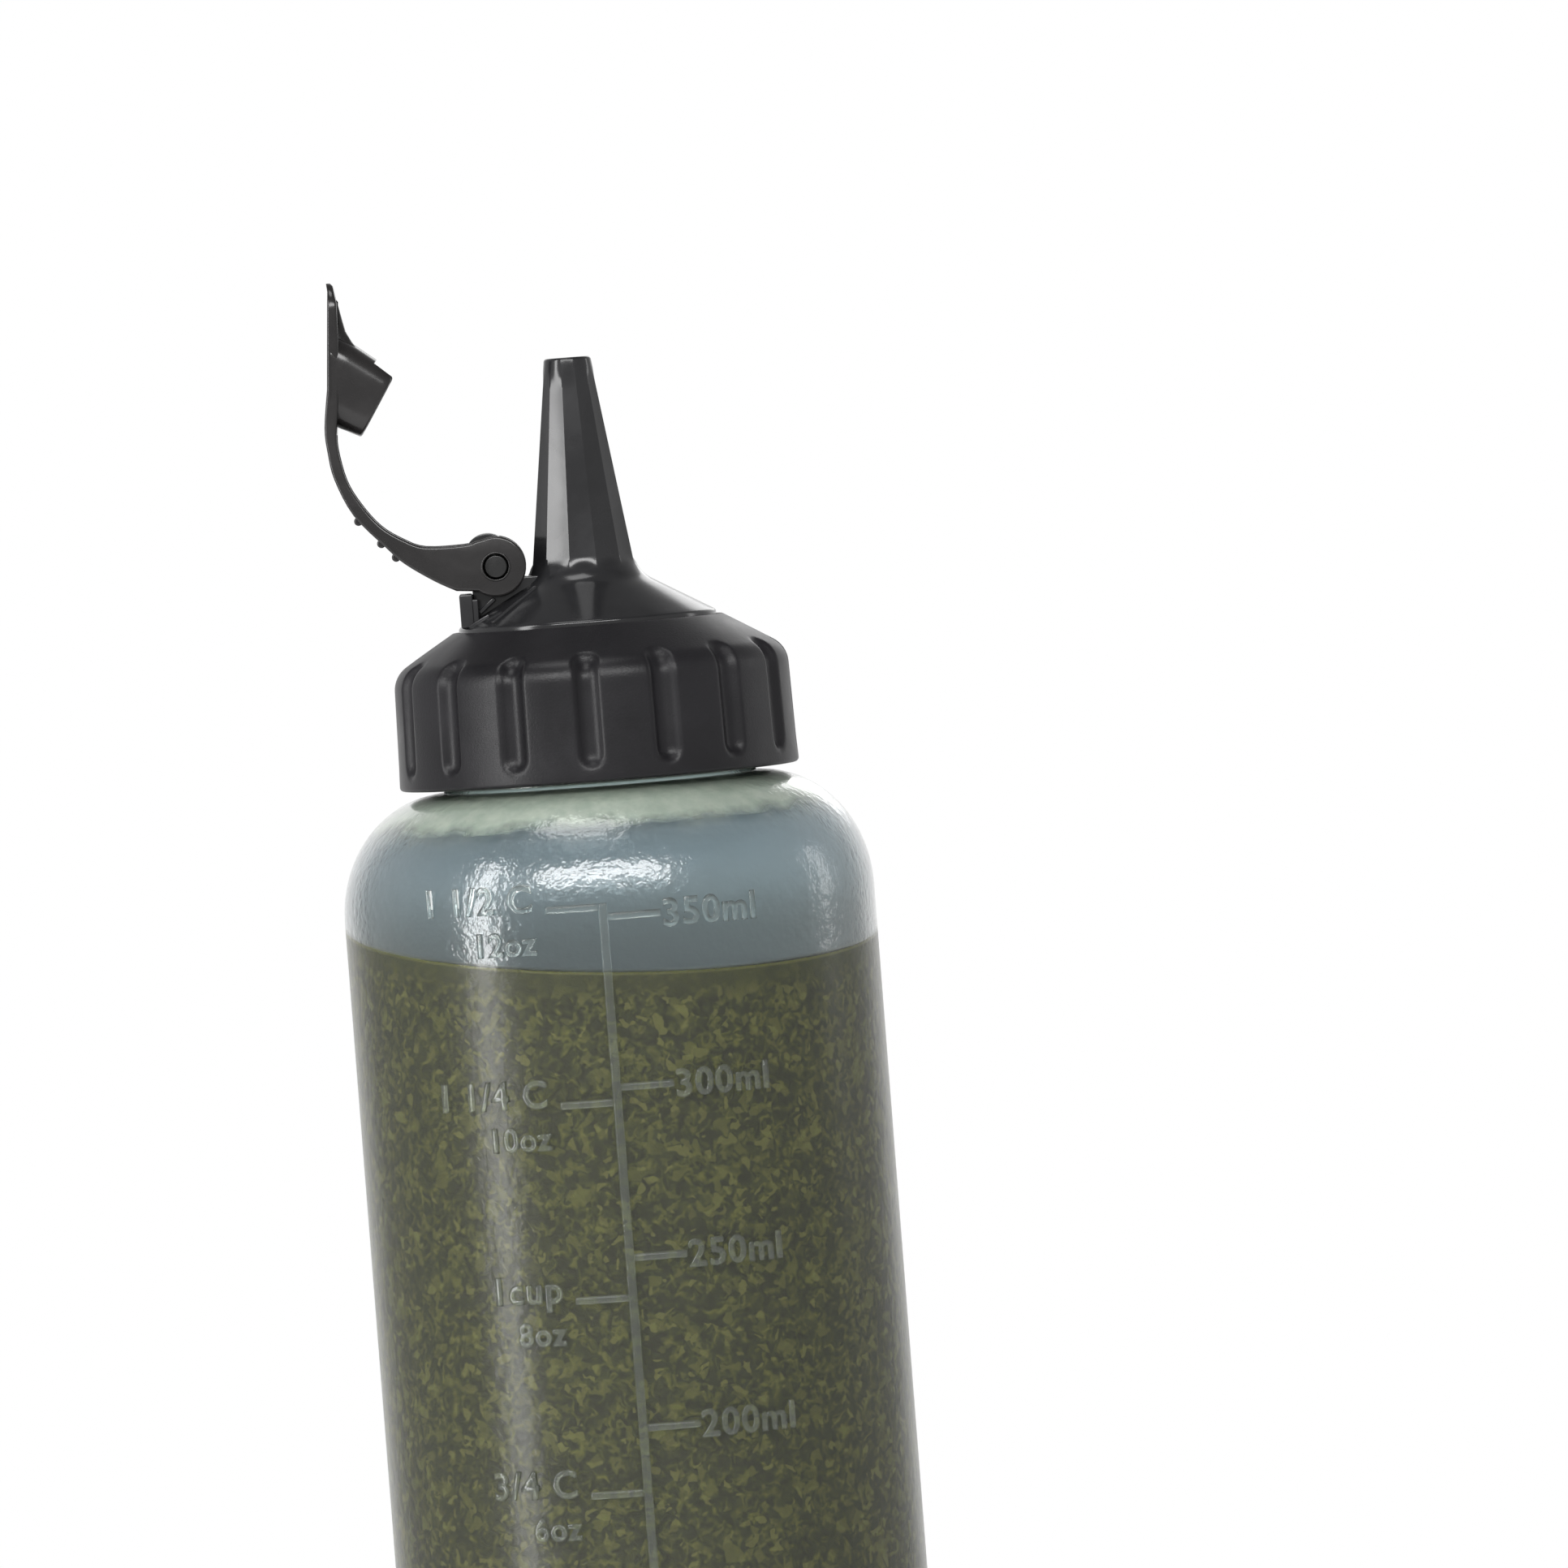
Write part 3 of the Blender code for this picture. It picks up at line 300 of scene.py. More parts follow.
def plastic(name, colour, index, clean, dull, size, grain_scale, wave_scale, share, height):
    """A plastic with smudged gloss and a fine moulded skin, which change with the place on the object."""
    material, tree, shader, place = new_material(name, {"IOR": index})
    marks = use(tree, smudge, place, {"Size": size, "Clean": clean, "Dull": dull})
    texture = use(tree, skin, place, {"Grain Scale": grain_scale, "Wave Scale": wave_scale,
                                      "Wave Share": share})
    shade = slope(tree, marks, clean, dull, CLEAN_SHADE, DULL_SHADE)
    feed(tree, marks, shader["Roughness"])
    feed(tree, bumps(tree, texture, height), shader["Normal"])
    feed(tree, blend(tree, 1.0, colour, shade, blend_type="MULTIPLY"), shader["Base Color"])
    return material


finishes = {name: plastic(name, *values) for name, values in PLASTICS.items()}
print("plastics:", ", ".join(sorted(finishes)))

# %% [markdown]
# The bottle's wall is soft frosted plastic. Light passes it a little blurred, so the herbs show through
# softly, and along its sides, where one looks through the wall only, it is pale. Its tint, its gloss and
# its roughness change at the dressing's surface: nearly clear and dull against the sauce, glossy above it,
# where its tint is darkened to blue grey as painted shade, for the shade behind the bottle. Higher up it
# turns greenish white on the thick shoulder, and on the thicker neck it is darkened by painted shade, for
# the cap's shade in which the neck lies.
# The frosting stays fine, because a coarser one would blur the herbs to patches.

# %% Where the dressing's surface lies
LEVEL = 138.2 * MM  # height of the dressing at the bottle's middle
TILT_X = -0.0736  # rise of the surface towards +X
TILT_Y = 0.1255  # rise of the surface towards +Y, away from the camera
WAVE_HEIGHT = 0.10 * MM


def surface_height(x, y):
    """Height of the dressing's surface: a tilted plane with slow waves, as thick sauce comes to rest."""
    wave = WAVE_HEIGHT * math.sin(x / (5.1 * MM) + 0.6) * math.cos(y / (6.3 * MM))
    return LEVEL + TILT_X * x + TILT_Y * y + wave


def above_surface(tree, place, start, end, low=0.0, high=1.0):
    """Goes from low to high between two heights in mm above the dressing's surface."""
    rise = put(tree, "ShaderNodeVectorMath", {0: place, 1: (-TILT_X, -TILT_Y, 1.0)},
               operation="DOT_PRODUCT").outputs["Value"]
    return slope(tree, rise, LEVEL + start * MM, LEVEL + end * MM, low, high)


def height_of(tree, place):
    """The height above the base."""
    return put(tree, "ShaderNodeSeparateXYZ", {"Vector": place}).outputs["Z"]


def ragged_height(tree, place, scale, detail, reach):
    """The height above the base, moved up or down by at most reach."""
    shift = figure(tree, "MULTIPLY_ADD", noise(tree, place, scale, detail, 0.6), 2 * reach, -reach)
    return figure(tree, "ADD", height_of(tree, place), shift)


print("the dressing's middle lies at", round(surface_height(0.0, 0.0) / MM, 2), "mm")

# %% Frosted wall
SHOULDER_Z = 151.0 * MM  # where the pale shoulder starts
NECK_Z = 154.75 * MM  # above it the wall is thick and lies in the cap's shade
WALL_TOP_Z = 165.4 * MM
SHOULDER_TINT = (0.94, 0.98, 0.93)
FILLED_TINT = (0.93, 0.94, 0.78)
# painted shade: the darker tint of the neck, for the cap's shade in which it lies
NECK_SHADE_TINT = (0.40, 0.45, 0.40)
INNER_ROUGHNESS = 0.52
EMPTY_SHADE_TINTS = (
    # height above the base and tint, from the dressing's surface up; below the shoulder the tints are
    # painted shade
    (LEVEL, (0.40, 0.47, 0.48)),
    (LEVEL + 5 * MM, (0.47, 0.56, 0.59)),
    (SHOULDER_Z - 1.5 * MM, (0.52, 0.62, 0.67)),
    (SHOULDER_Z + 0.6 * MM, SHOULDER_TINT),
)
finishes["frosted_polythene"], tree, shader, place = new_material("frosted_wall", {
    "IOR": 1.36, "Transmission Weight": 0.985, "Coat Roughness": 0.13, "Coat IOR": 1.6})
# Painted shade: above the dressing the wall's tint is darkened to blue grey, for the shade behind the
# bottle.
share = slope(tree, ragged_height(tree, place, 170.0, 4.0, 2.5 * MM), LEVEL, WALL_TOP_Z)
empty = ramp(tree, share, [((level - LEVEL) / (WALL_TOP_Z - LEVEL), tint) for level, tint in EMPTY_SHADE_TINTS])
# Painted shade: the neck is darkened further, for the cap's shade.
in_neck = slope(tree, height_of(tree, place), NECK_Z - 0.15 * MM, NECK_Z + 0.10 * MM)
empty = blend(tree, in_neck, empty, NECK_SHADE_TINT)
feed(tree, blend(tree, above_surface(tree, place, -0.25, 0.35), FILLED_TINT, empty), shader["Base Color"])
feed(tree, above_surface(tree, place, -0.25, 0.6, 0.06, 0.85), shader["Coat Weight"])
frost = use(tree, smudge, place, {"Size": 70.0, "Clean": 0.235, "Dull": 0.268})
outer = figure(tree, "ADD", frost, above_surface(tree, place, -0.3, 2.0, 0.0, -0.06))
is_inner = put(tree, "ShaderNodeAttribute", attribute_name="inner_side").outputs["Fac"]
feed(tree, between(tree, is_inner, outer, INNER_ROUGHNESS), shader["Roughness"])
peel = use(tree, skin, place, {"Grain Scale": 900.0, "Wave Scale": 260.0, "Wave Share": 0.6})
feed(tree, bumps(tree, peel, 0.10 * MM), shader["Normal"])
feed(tree, bumps(tree, noise(tree, place, 900.0, 2.0, 0.6), 0.12 * MM), shader["Coat Normal"])
print("frosted wall with", len(tree.nodes), "nodes")

# %% [markdown]
# The dressing is a thick olive sauce with chopped herbs. Seen through the wall it is a close mottle of
# dark and light flecks, about a millimetre across, in a darker ground. Three cell patterns, pulled out of
# shape by a slow noise, give flecks with edges, and the ground's own noise keeps them from looking like
# tiles. The sauce is darker just below its surface, and a thin line of clearer oil rims it.

# %% Herb dressing
FLECKS = (
    # cells to a metre, share of cells that stay plain, colour
    (850.0, 0.80, (0.095, 0.100, 0.022)),
    (1150.0, 0.74, (0.014, 0.017, 0.004)),
    (1250.0, 0.88, (0.150, 0.150, 0.040)),
)
FLECK_EDGE = 0.08  # share of cells that show a fleck only in part
FLECK_STRENGTH = 0.7
FLECK_PULL = 3.5 * MM
SURFACE_ZONES = (
    # from and to in mm above the surface, strength, colour
    (-3.6, -1.3, 0.80, (0.030, 0.034, 0.007)),
    (-0.50, -0.20, 0.85, (0.20, 0.20, 0.045)),
    (-0.16, -0.12, 1.0, (0.020, 0.024, 0.012)),
)
finishes["herb_dressing"], tree, shader, place = new_material("herb_dressing", {"IOR": 1.45})
swirl = put(tree, "ShaderNodeTexNoise", {"Vector": place, "Scale": 300.0, "Detail": 3.0}).outputs["Color"]
pulled = put(tree, "ShaderNodeVectorMath", {0: swirl, 1: (FLECK_PULL, FLECK_PULL, FLECK_PULL), 2: place},
             operation="MULTIPLY_ADD").outputs[0]
ground = noise(tree, place, 840.0, 4.0, 0.6, 0.9)
colour = ramp(tree, ground, ((0.38, (0.009, 0.011, 0.002)), (0.48, (0.020, 0.023, 0.004)),
                             (0.57, (0.054, 0.058, 0.010)), (0.68, (0.112, 0.117, 0.022))))
for scale, plain, tone in FLECKS:
    cells = put(tree, "ShaderNodeTexVoronoi", {"Vector": pulled, "Scale": scale}).outputs["Color"]
    pick = put(tree, "ShaderNodeSeparateColor", {"Color": cells}).outputs[0]
    colour = blend(tree, slope(tree, pick, plain, plain + FLECK_EDGE, 0.0, FLECK_STRENGTH), colour, tone)
for start, end, strength, tone in SURFACE_ZONES:
    colour = blend(tree, above_surface(tree, place, start, end, 0.0, strength), colour, tone)
feed(tree, colour, shader["Base Color"])
feed(tree, above_surface(tree, place, -0.5, -0.2, 0.60, 0.12), shader["Roughness"])
feed(tree, bumps(tree, ground, 0.3 * MM), shader["Normal"])
print("dressing material with", len(tree.nodes), "nodes")

# %% Clear raised marks, and the cloudy layer of the shoulder
finishes["raised_marks"], tree, shader, place = new_material("raised_marks", {
    "Transmission Weight": 0.985, "IOR": 1.45})
marks = use(tree, smudge, place, {"Size": 200.0, "Clean": 0.07, "Dull": 0.13})
feed(tree, marks, shader["Roughness"])
feed(tree, ramp(tree, marks, ((0.0, (0.84, 0.89, 0.87)), (1.0, (0.94, 0.97, 0.95)))), shader["Base Color"])

finishes["cloudy_shoulder"], tree, shader, place = new_material("cloudy_shoulder", {"Roughness": 0.55})
upright = put(tree, "ShaderNodeMapping", {"Vector": place, "Scale": (1.0, 1.0, 0.25)}).outputs[0]
tones = ramp(tree, noise(tree, upright, 420.0, 5.0, 0.65), ((0.35, (0.46, 0.53, 0.46)),
                                                            (0.65, (0.62, 0.68, 0.60))))
feed(tree, tones, shader["Base Color"])
thick = slope(tree, ragged_height(tree, place, 160.0, 5.0, 2.0 * MM),
              SHOULDER_Z - 0.9 * MM, SHOULDER_Z + 0.5 * MM, 0.0, 0.92)
feed(tree, thick, shader["Alpha"])
print("finishes:", ", ".join(sorted(finishes)))

# %% [markdown]
# Most of this object is round: bottle, cap, nozzle and grip ring are all turned shapes. Each starts as a
# plain circle that is extruded and scaled from ring to ring along a profile, as by hand. The corners of a
# profile are rounded first, because no moulded edge is knife sharp, and a rounded edge catches the light.
# A Screw modifier would do the same turn, but its rows could not be pressed in afterwards one by one.

# %% Helpers for pieces
BODY_OF = {name: body for body, names in frame["record"]["behaviour"]["bodies"].items() for name in names}
MERGE_GAP = 0.002 * MM


def only(piece):
    """Leaves edit mode, deselects everything and makes one object the selected and active one."""
    leave_edit()
    bpy.ops.object.select_all(action="DESELECT")
    piece.select_set(True)
    bpy.context.view_layer.objects.active = piece


def edit(piece, action="SELECT"):
    """Enters edit mode on one piece, with all or nothing of it selected."""
    only(piece)
    bpy.ops.object.mode_set(mode="EDIT")
    bpy.ops.mesh.select_all(action=action)


def tidy_mesh(piece, gap=MERGE_GAP):
    """Merges doubled points and turns all faces outwards."""
    edit(piece)
    bpy.ops.mesh.remove_doubles(threshold=gap)
    bpy.ops.mesh.normals_make_consistent(inside=False)
    leave_edit()


def modify(piece, kind, **settings):
    """Gives a piece a modifier with options set by name, and applies it."""
    only(piece)
    bpy.ops.object.modifier_add(type=kind)
    modifier = piece.modifiers[-1]
    for name, value in settings.items():
        setattr(modifier, name, value)
    bpy.ops.object.modifier_apply(modifier=modifier.name)


def round_edges(piece, width, sharp, segments=2):
    """Rounds every edge that is sharper than an angle in degrees."""
    modify(piece, "BEVEL", width=width, segments=segments, limit_method="ANGLE",
           angle_limit=math.radians(sharp))


def settle(piece, name, slot, body, sharp=30.0, finish=None):
    """Shades, names and paints a finished piece with its slot's finish or another, and lets it ride on its
    body.
    """
    only(piece)
    bpy.ops.object.shade_smooth_by_angle(angle=math.radians(sharp))
    piece.name = name
    piece.data.name = name
    piece.data.materials.clear()
    piece.data.materials.append(finishes[finish or slot])
    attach(piece, body)
    piece.data.calc_loop_triangles()
    print(name, "has", len(piece.data.loop_triangles), "triangles")


def join(pieces):
    """Joins several objects into the first one."""
    only(pieces[0])
    for piece in pieces:
        piece.select_set(True)
    bpy.ops.object.join()
    return bpy.context.object


def rounded(corners, steps=5):
    """A profile in metres from corners of (radius, height, rounding) in mm, each rounded by an arc."""
    line = []
    for index, (across, up, rounding) in enumerate(corners):
        corner = Vector((across, up))
        if rounding == 0 or index in (0, len(corners) - 1):
            line.append(corner * MM)
            continue
        before = (Vector(corners[index - 1][:2]) - corner).normalized()
        after = (Vector(corners[index + 1][:2]) - corner).normalized()
        half_turn = (math.pi - before.angle(after)) / 2
        start = corner + before * rounding * math.tan(half_turn)
        end = corner + after * rounding * math.tan(half_turn)
        weight = math.cos(half_turn)
        for step in range(steps + 1):
            t = step / steps
            shares = ((1 - t) ** 2, 2 * t * (1 - t) * weight, t ** 2)
            place = shares[0] * start + shares[1] * corner + shares[2] * end
            line.append(place / sum(shares) * MM)
    return line


def divided(line, longest):
    """The same line with more points, so that no stretch is longer than a length."""
    points = [line[0]]
    for before, after in zip(line, line[1:]):
        count = max(1, math.ceil((after - before).length / longest))
        points += [before.lerp(after, step / count) for step in range(1, count + 1)]
    return points


def extrude(step):
    """Extrudes what is selected by a step."""
    bpy.ops.mesh.extrude_region_move(TRANSFORM_OT_translate={"value": step})


def raise_rings(profile, sides, filled=False):
    """A round shape made as by hand: a circle, extruded and scaled from ring to ring."""
    radius, level = profile[0]
    piece = fresh(bpy.ops.mesh.primitive_circle_add, vertices=sides, radius=radius,
                  location=(0, 0, level), fill_type="NGON" if filled else "NOTHING")
    bpy.ops.object.transform_apply(location=True, rotation=False, scale=False)
    edit(piece)
    for next_radius, next_level in profile[1:]:
        extrude((0, 0, next_level - level))
        factor = next_radius / radius
        bpy.ops.transform.resize(value=(factor, factor, 1.0), center_override=(0, 0, next_level))
        radius, level = next_radius, next_level
    tidy_mesh(piece)
    return piece


def turned(corners, steps, sides, row=None, filled=False):
    """A turned shape from corners as in rounded, with rows no further apart than row."""
    line = rounded(corners, steps)
    return raise_rings(divided(line, row) if row else line, sides, filled)


def block(low, high):
    """A box between two corners given in mm."""
    middle = [(a + b) / 2 * MM for a, b in zip(low, high)]
    piece = fresh(bpy.ops.mesh.primitive_cube_add, size=1.0, location=middle)
    piece.scale = [(b - a) * MM for a, b in zip(low, high)]
    bpy.ops.object.transform_apply(location=True, rotation=False, scale=True)
    return piece


def cut(piece, tool):
    """Cuts a tool's shape away from a piece, and removes the tool."""
    modify(piece, "BOOLEAN", operation="DIFFERENCE", solver="EXACT", object=tool)
    bpy.data.objects.remove(tool, do_unlink=True)


def round_copies(piece, count, start):
    """Copies of a piece round the bottle's axis, each with its own mesh, joined into one."""
    copies = [piece]
    for index in range(1, count):
        twin = piece.copy()
        twin.data = piece.data.copy()
        scene.collection.objects.link(twin)
        copies.append(twin)
    for index, twin in enumerate(copies):
        twin.data.transform(Matrix.Rotation(math.radians(start + index * 360.0 / count), 4, "Z"))
    return join(copies)


# %% [markdown]
# The grip ring is a soft rubbery band over the cap's skirt, with sixteen flutes for the fingers. A flute is
# a groove with round ends that runs up over the ring's shoulder. Cutting it with a boolean would leave
# hard rims. Here each point of a dense turned ring is pressed in by its distance from the nearest flute's
# middle line, with a soft start, so the rims are rounded like those of a real rubber moulding.

# %% Grip ring
RING_SIDES = 512
RING_ROW = 0.42 * MM
RING_SLOPE = math.radians(31.0)
BEND_CENTRE = (19.05 * MM, 166.513 * MM)  # of the ring's rounded shoulder
BEND_RADIUS = 3.2 * MM
FLUTE_COUNT = 16
FLUTE_TURN = -92.0  # direction of the flute nearest the front, in degrees
FLUTE_HALF = 1.45 * MM
FLUTE_SECTION = 1.618 * MM  # radius of the groove's round section
FLUTE_SINK = 0.718 * MM  # from the surface out to the middle of that section
FLUTE_LOW = 158.45 * MM  # where the lower round end has its middle
FLUTE_HIGH = 169.1 * MM  # the same for the upper end, measured along the ring's outer side
FLUTE_REACH = 2.2 * FLUTE_HALF  # beyond it a flute presses nothing
RIM_SOFTNESS = 0.22 * MM
INNER_SIDE = 21.5 * MM  # below the shoulder, points nearer the axis are not pressed
ROOF_SIDE = 20.9 * MM  # nor are those nearer the axis than this under the sloping roof,
ROOF_START = (14.8 * MM, 172.7 * MM)  # which starts at this radius and height
KEY_TURN = -80.75  # direction of the first rib that turns the ring with the cap
KEY_COUNT = 8
grip_ring = turned((
    (14.80, 171.05, 0), (14.80, 172.80, 0.30), (22.209, 168.348, 3.2), (22.50, 155.30, 0.45),
    (19.35, 155.30, 0.20), (19.35, 156.10, 0), (20.70, 156.10, 0), (20.70, 167.505, 0), (14.80, 171.05, 0),
), 8, RING_SIDES, RING_ROW)


def along_ring(radius, level):
    """How far up the ring's outer side a point lies, and the direction outwards there."""
    if level <= BEND_CENTRE[1]:
        return level, Vector((1.0, 0.0))
    bend_end = math.pi / 2 - RING_SLOPE
    turn = math.atan2(level - BEND_CENTRE[1], radius - BEND_CENTRE[0])
    if turn <= bend_end:
        return BEND_CENTRE[1] + BEND_RADIUS * turn, Vector((math.cos(turn), math.sin(turn)))
    tangent = BEND_CENTRE[0] + BEND_RADIUS * math.cos(bend_end)
    along = BEND_CENTRE[1] + BEND_RADIUS * bend_end + (tangent - radius) / math.cos(RING_SLOPE)
    return along, Vector((math.cos(bend_end), math.sin(bend_end)))


pressed = 0
for vertex in grip_ring.data.vertices:
    x, y, level = vertex.co
    radius = math.hypot(x, y)
    along, outwards = along_ring(radius, level)
    roof = ROOF_START[1] - (radius - ROOF_START[0]) * math.tan(RING_SLOPE)
    if (level < BEND_CENTRE[1] and radius < INNER_SIDE) or (radius < ROOF_SIDE and level < roof):
        continue
    turn = (math.degrees(math.atan2(y, x)) - FLUTE_TURN) % (360.0 / FLUTE_COUNT)
    turn = min(turn, 360.0 / FLUTE_COUNT - turn)
    sideways = math.radians(turn) * radius
    beyond = max(FLUTE_LOW - along, along - FLUTE_HIGH, 0.0)
    reach = math.hypot(sideways, beyond)
    if reach > FLUTE_REACH:
        continue
    if reach < FLUTE_HALF:
        depth = math.sqrt(FLUTE_SECTION ** 2 - reach ** 2) - FLUTE_SINK
    else:
        depth = (FLUTE_HALF - reach) * 2
    depth = (depth + math.hypot(depth, RIM_SOFTNESS)) / 2
    factor = 1 - depth * outwards.x / radius
    vertex.co = (x * factor, y * factor, level - depth * outwards.y)
    pressed += 1
key_slots = round_copies(block((19.0, -0.9, 157.45), (21.3, 0.9, 164.1)), KEY_COUNT, KEY_TURN)
cut(grip_ring, key_slots)
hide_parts("grip_ring")
settle(grip_ring, "grip_ring_moulding", "soft_grip", "cap_body", 40.0)
print("points pressed into flutes:", pressed)

# %% [markdown]
# The spout cap is one glossy moulding: a skirt that hides under the grip ring, a flared disc, a low cone
# and the tall nozzle. The nozzle is turned first and then pressed flat on twelve sides, which end in small
# ledges just above the foot. In the real one the flats are cut into the steel mould, so their edges are
# crisp but not sharp. Below the flats the nozzle flows into the cone with a wide hollow rounding.

# %% Spout cap: the turned shape and its twelve flats
SPOUT_SIDES = 192
SPOUT_ROW = 0.55 * MM
SPOUT_WALL = 0.4 * MM  # points deeper than this under the nozzle's outer side are not pressed
TIP = (2.62 * MM, 202.5 * MM)  # the nozzle's outer radius and height at its tip
TAPER = 0.14025  # how much the radius grows for each length down the nozzle
FLAT_COUNT = 12
FLAT_SHARE = 0.038  # of the radius, as the depth of a flat's middle
FLAT_LOW = 179.1 * MM
FLAT_HIGH = 201.1 * MM
FLAT_FADE = (0.40 * MM, 1.50 * MM)  # height of the ledge at a flat's foot and at its top
spout = turned((
    (1.35, 199.88, 0), (1.35, 202.50, 0.20), (2.62, 202.50, 0.35), (6.056, 177.994, 3.4),
    (14.50, 173.05, 0.45), (14.50, 170.88, 0), (20.40, 167.335, 0.30), (20.40, 156.40, 0.25),
    (19.05, 156.40, 0.20), (19.05, 166.05, 0), (17.90, 167.20, 0.20), (13.00, 167.20, 0.20),
    (13.00, 172.306, 0.40), (5.00, 176.99, 0.40), (4.70, 178.40, 0), (1.35, 199.88, 0),
), 6, SPOUT_SIDES, SPOUT_ROW)
for vertex in spout.data.vertices:
    x, y, level = vertex.co
    outer = TIP[0] + (TIP[1] - level) * TAPER
    if not FLAT_LOW < level < FLAT_HIGH or math.hypot(x, y) < outer - SPOUT_WALL:
        continue
    fade = min(1.0, (level - FLAT_LOW) / FLAT_FADE[0], (FLAT_HIGH - level) / FLAT_FADE[1])
    turn = math.degrees(math.atan2(y, x)) / 360.0 * FLAT_COUNT
    across = 2 * ((turn + 0.5) % 1.0) - 1
    factor = 1 - FLAT_SHARE * (1 - across ** 2) * fade
    vertex.co = (x * factor, y * factor, level)
print("spout cap turned with", len(spout.data.vertices), "points")

# %% [markdown]
# The hinge stands on the cone's left side. A block carries a barrel with the pin's bore, and in front of
# the barrel a ribbed bulge stiffens it. A low wall stops the open cover. Small brackets and slanted ribs
# brace them on both sides, as thin mouldings need. All these are closed shapes of their own that reach
# into the cone, so the smooth cone keeps its even faces; one boolean for all would break them up.

# %% Hinge: block, wall, barrel and bulge
PIN_X = -9.78 * MM
PIN_Z = 179.77 * MM
PIN_SIDES = 64
KNUCKLE_BORE = 1.90  # radius in mm
BULGE_HALF = 3.9  # half of the bulge's length, in mm
BULGE_STEP = 1.95  # from groove to groove
AXIS = 0.02  # radius in mm of the small face that closes a solid shape on its axis
tower = [
    block((-12.63, -3.6, 172.2), (-5.0, 3.6, 178.4)),
    block((-14.15, -5.5, 173.1), (-12.65, 5.5, 176.9)),
    block((-12.95, -5.35, 172.9), (-12.05, -3.2, 176.3)),
    block((-12.95, 3.2, 172.9), (-12.05, 5.35, 176.3)),
]
for piece in tower:
    round_edges(piece, 0.22 * MM, 60.0, 3)


def lie_along_pin(piece, x, z):
    """Turns a shape from Z to Y and sets its middle over a place of the pin."""
    piece.data.transform(Matrix.Translation((x, 0, z)) @ Matrix.Rotation(math.radians(90.0), 4, "X"))
    return piece


def rod(radius, half, x, z):
    """A round bar along the pin, from its radius and half length in mm, to cut a bore with."""
    bar = fresh(bpy.ops.mesh.primitive_cylinder_add, vertices=PIN_SIDES, radius=radius * MM,
                depth=2 * half * MM)
    return lie_along_pin(bar, x, z)


barrel = turned(((KNUCKLE_BORE, 0.0, 0), (KNUCKLE_BORE, 3.75, 0.15), (3.15, 3.75, 0.25),
                 (3.15, -3.75, 0.25), (KNUCKLE_BORE, -3.75, 0.15), (KNUCKLE_BORE, 0.0, 0)), 3, PIN_SIDES)
tower.append(lie_along_pin(barrel, PIN_X, PIN_Z))
bulge_corners = [(1.9, BULGE_HALF, 0), (2.6, BULGE_HALF, 0.18)]
for index in range(1, 4):
    middle = BULGE_HALF - BULGE_STEP * index
    bulge_corners += [(2.6, middle + 0.42, 0.12), (2.25, middle + 0.2, 0.1),
                      (2.25, middle - 0.2, 0.1), (2.6, middle - 0.42, 0.12)]
bulge_corners += [(2.6, -BULGE_HALF, 0.18), (1.9, -BULGE_HALF, 0)]
bulge_profile = [Vector((AXIS, BULGE_HALF)) * MM, *rounded(bulge_corners, 3),
                 Vector((AXIS, -BULGE_HALF)) * MM]
bulge = lie_along_pin(raise_rings(bulge_profile, PIN_SIDES, filled=True), PIN_X - 0.84 * MM,
                      PIN_Z + 1.15 * MM)
cut(bulge, rod(KNUCKLE_BORE, 5.0, PIN_X, PIN_Z))
tower.append(bulge)
print("hinge made of", len(tower), "shapes, its bulge with", len(bulge.data.vertices), "points")

# %% Hinge: slanted braces, and the keys that turn the ring
def brace(start, end, width, thick):
    """A small rounded bar between two points given in mm, lying on the cap."""
    start, end = Vector(start), Vector(end)
    along = end - start
    half = Vector((along.length, width, thick)) / 2
    bar = block(-half, half)
    turn = along.to_track_quat("X", "Z").to_matrix().to_4x4()
    bar.data.transform(Matrix.Translation((start + end) / 2 * MM) @ turn)
    round_edges(bar, min(width, thick) * 0.3 * MM, 60.0, 3)
    return bar


for side in (-1, 1):
    tower.append(brace((-5.45, side * 5.35, 177.1), (-10.6, side * 9.0, 173.5), 0.5, 0.5))
    tower.append(brace((-13.2, side * 5.0, 173.15), (-10.9, side * 5.2, 174.3), 1.1, 0.55))
    tower.append(brace((-12.0, side * 4.4, 174.7), (-10.2, side * 4.4, 176.2), 0.7, 0.5))
keys = round_copies(block((19.8, -0.6, 157.75), (21.0, 0.6, 163.81)), KEY_COUNT, KEY_TURN)
round_edges(keys, 0.12 * MM, 60.0, 2)
spout = join([spout, keys, *tower])
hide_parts("spout_cap")
settle(spout, "spout_cap_moulding", "gloss_black", "cap_body", 28.0)

# %% [markdown]
# Neck and cap are joined by a coarse thread of about one and a half turns, hidden under the ring until the
# cap is unscrewed. Both ridges climb 4.23 mm in a turn, the cap's lying half a turn higher, so that they
# pass each other as the cap rises. A ridge is one small section, spun and lifted step by step.

# %% Threads
PITCH = 4.23 * MM
THREAD_START = 20.0  # direction in degrees where both ridges begin
THREAD_LOW = 158.9 * MM
TURN_STEPS = 48  # steps in a full turn
THREAD_FOOT = 1.15  # half of the section's height at its root, in mm
THREAD_CREST = 0.40  # the same at its crest
THREAD_FADE = 5  # a ridge fades in over one part in five of a turn's height
LEAST_SHARE = 0.12  # of its depth, which a ridge keeps at its very ends


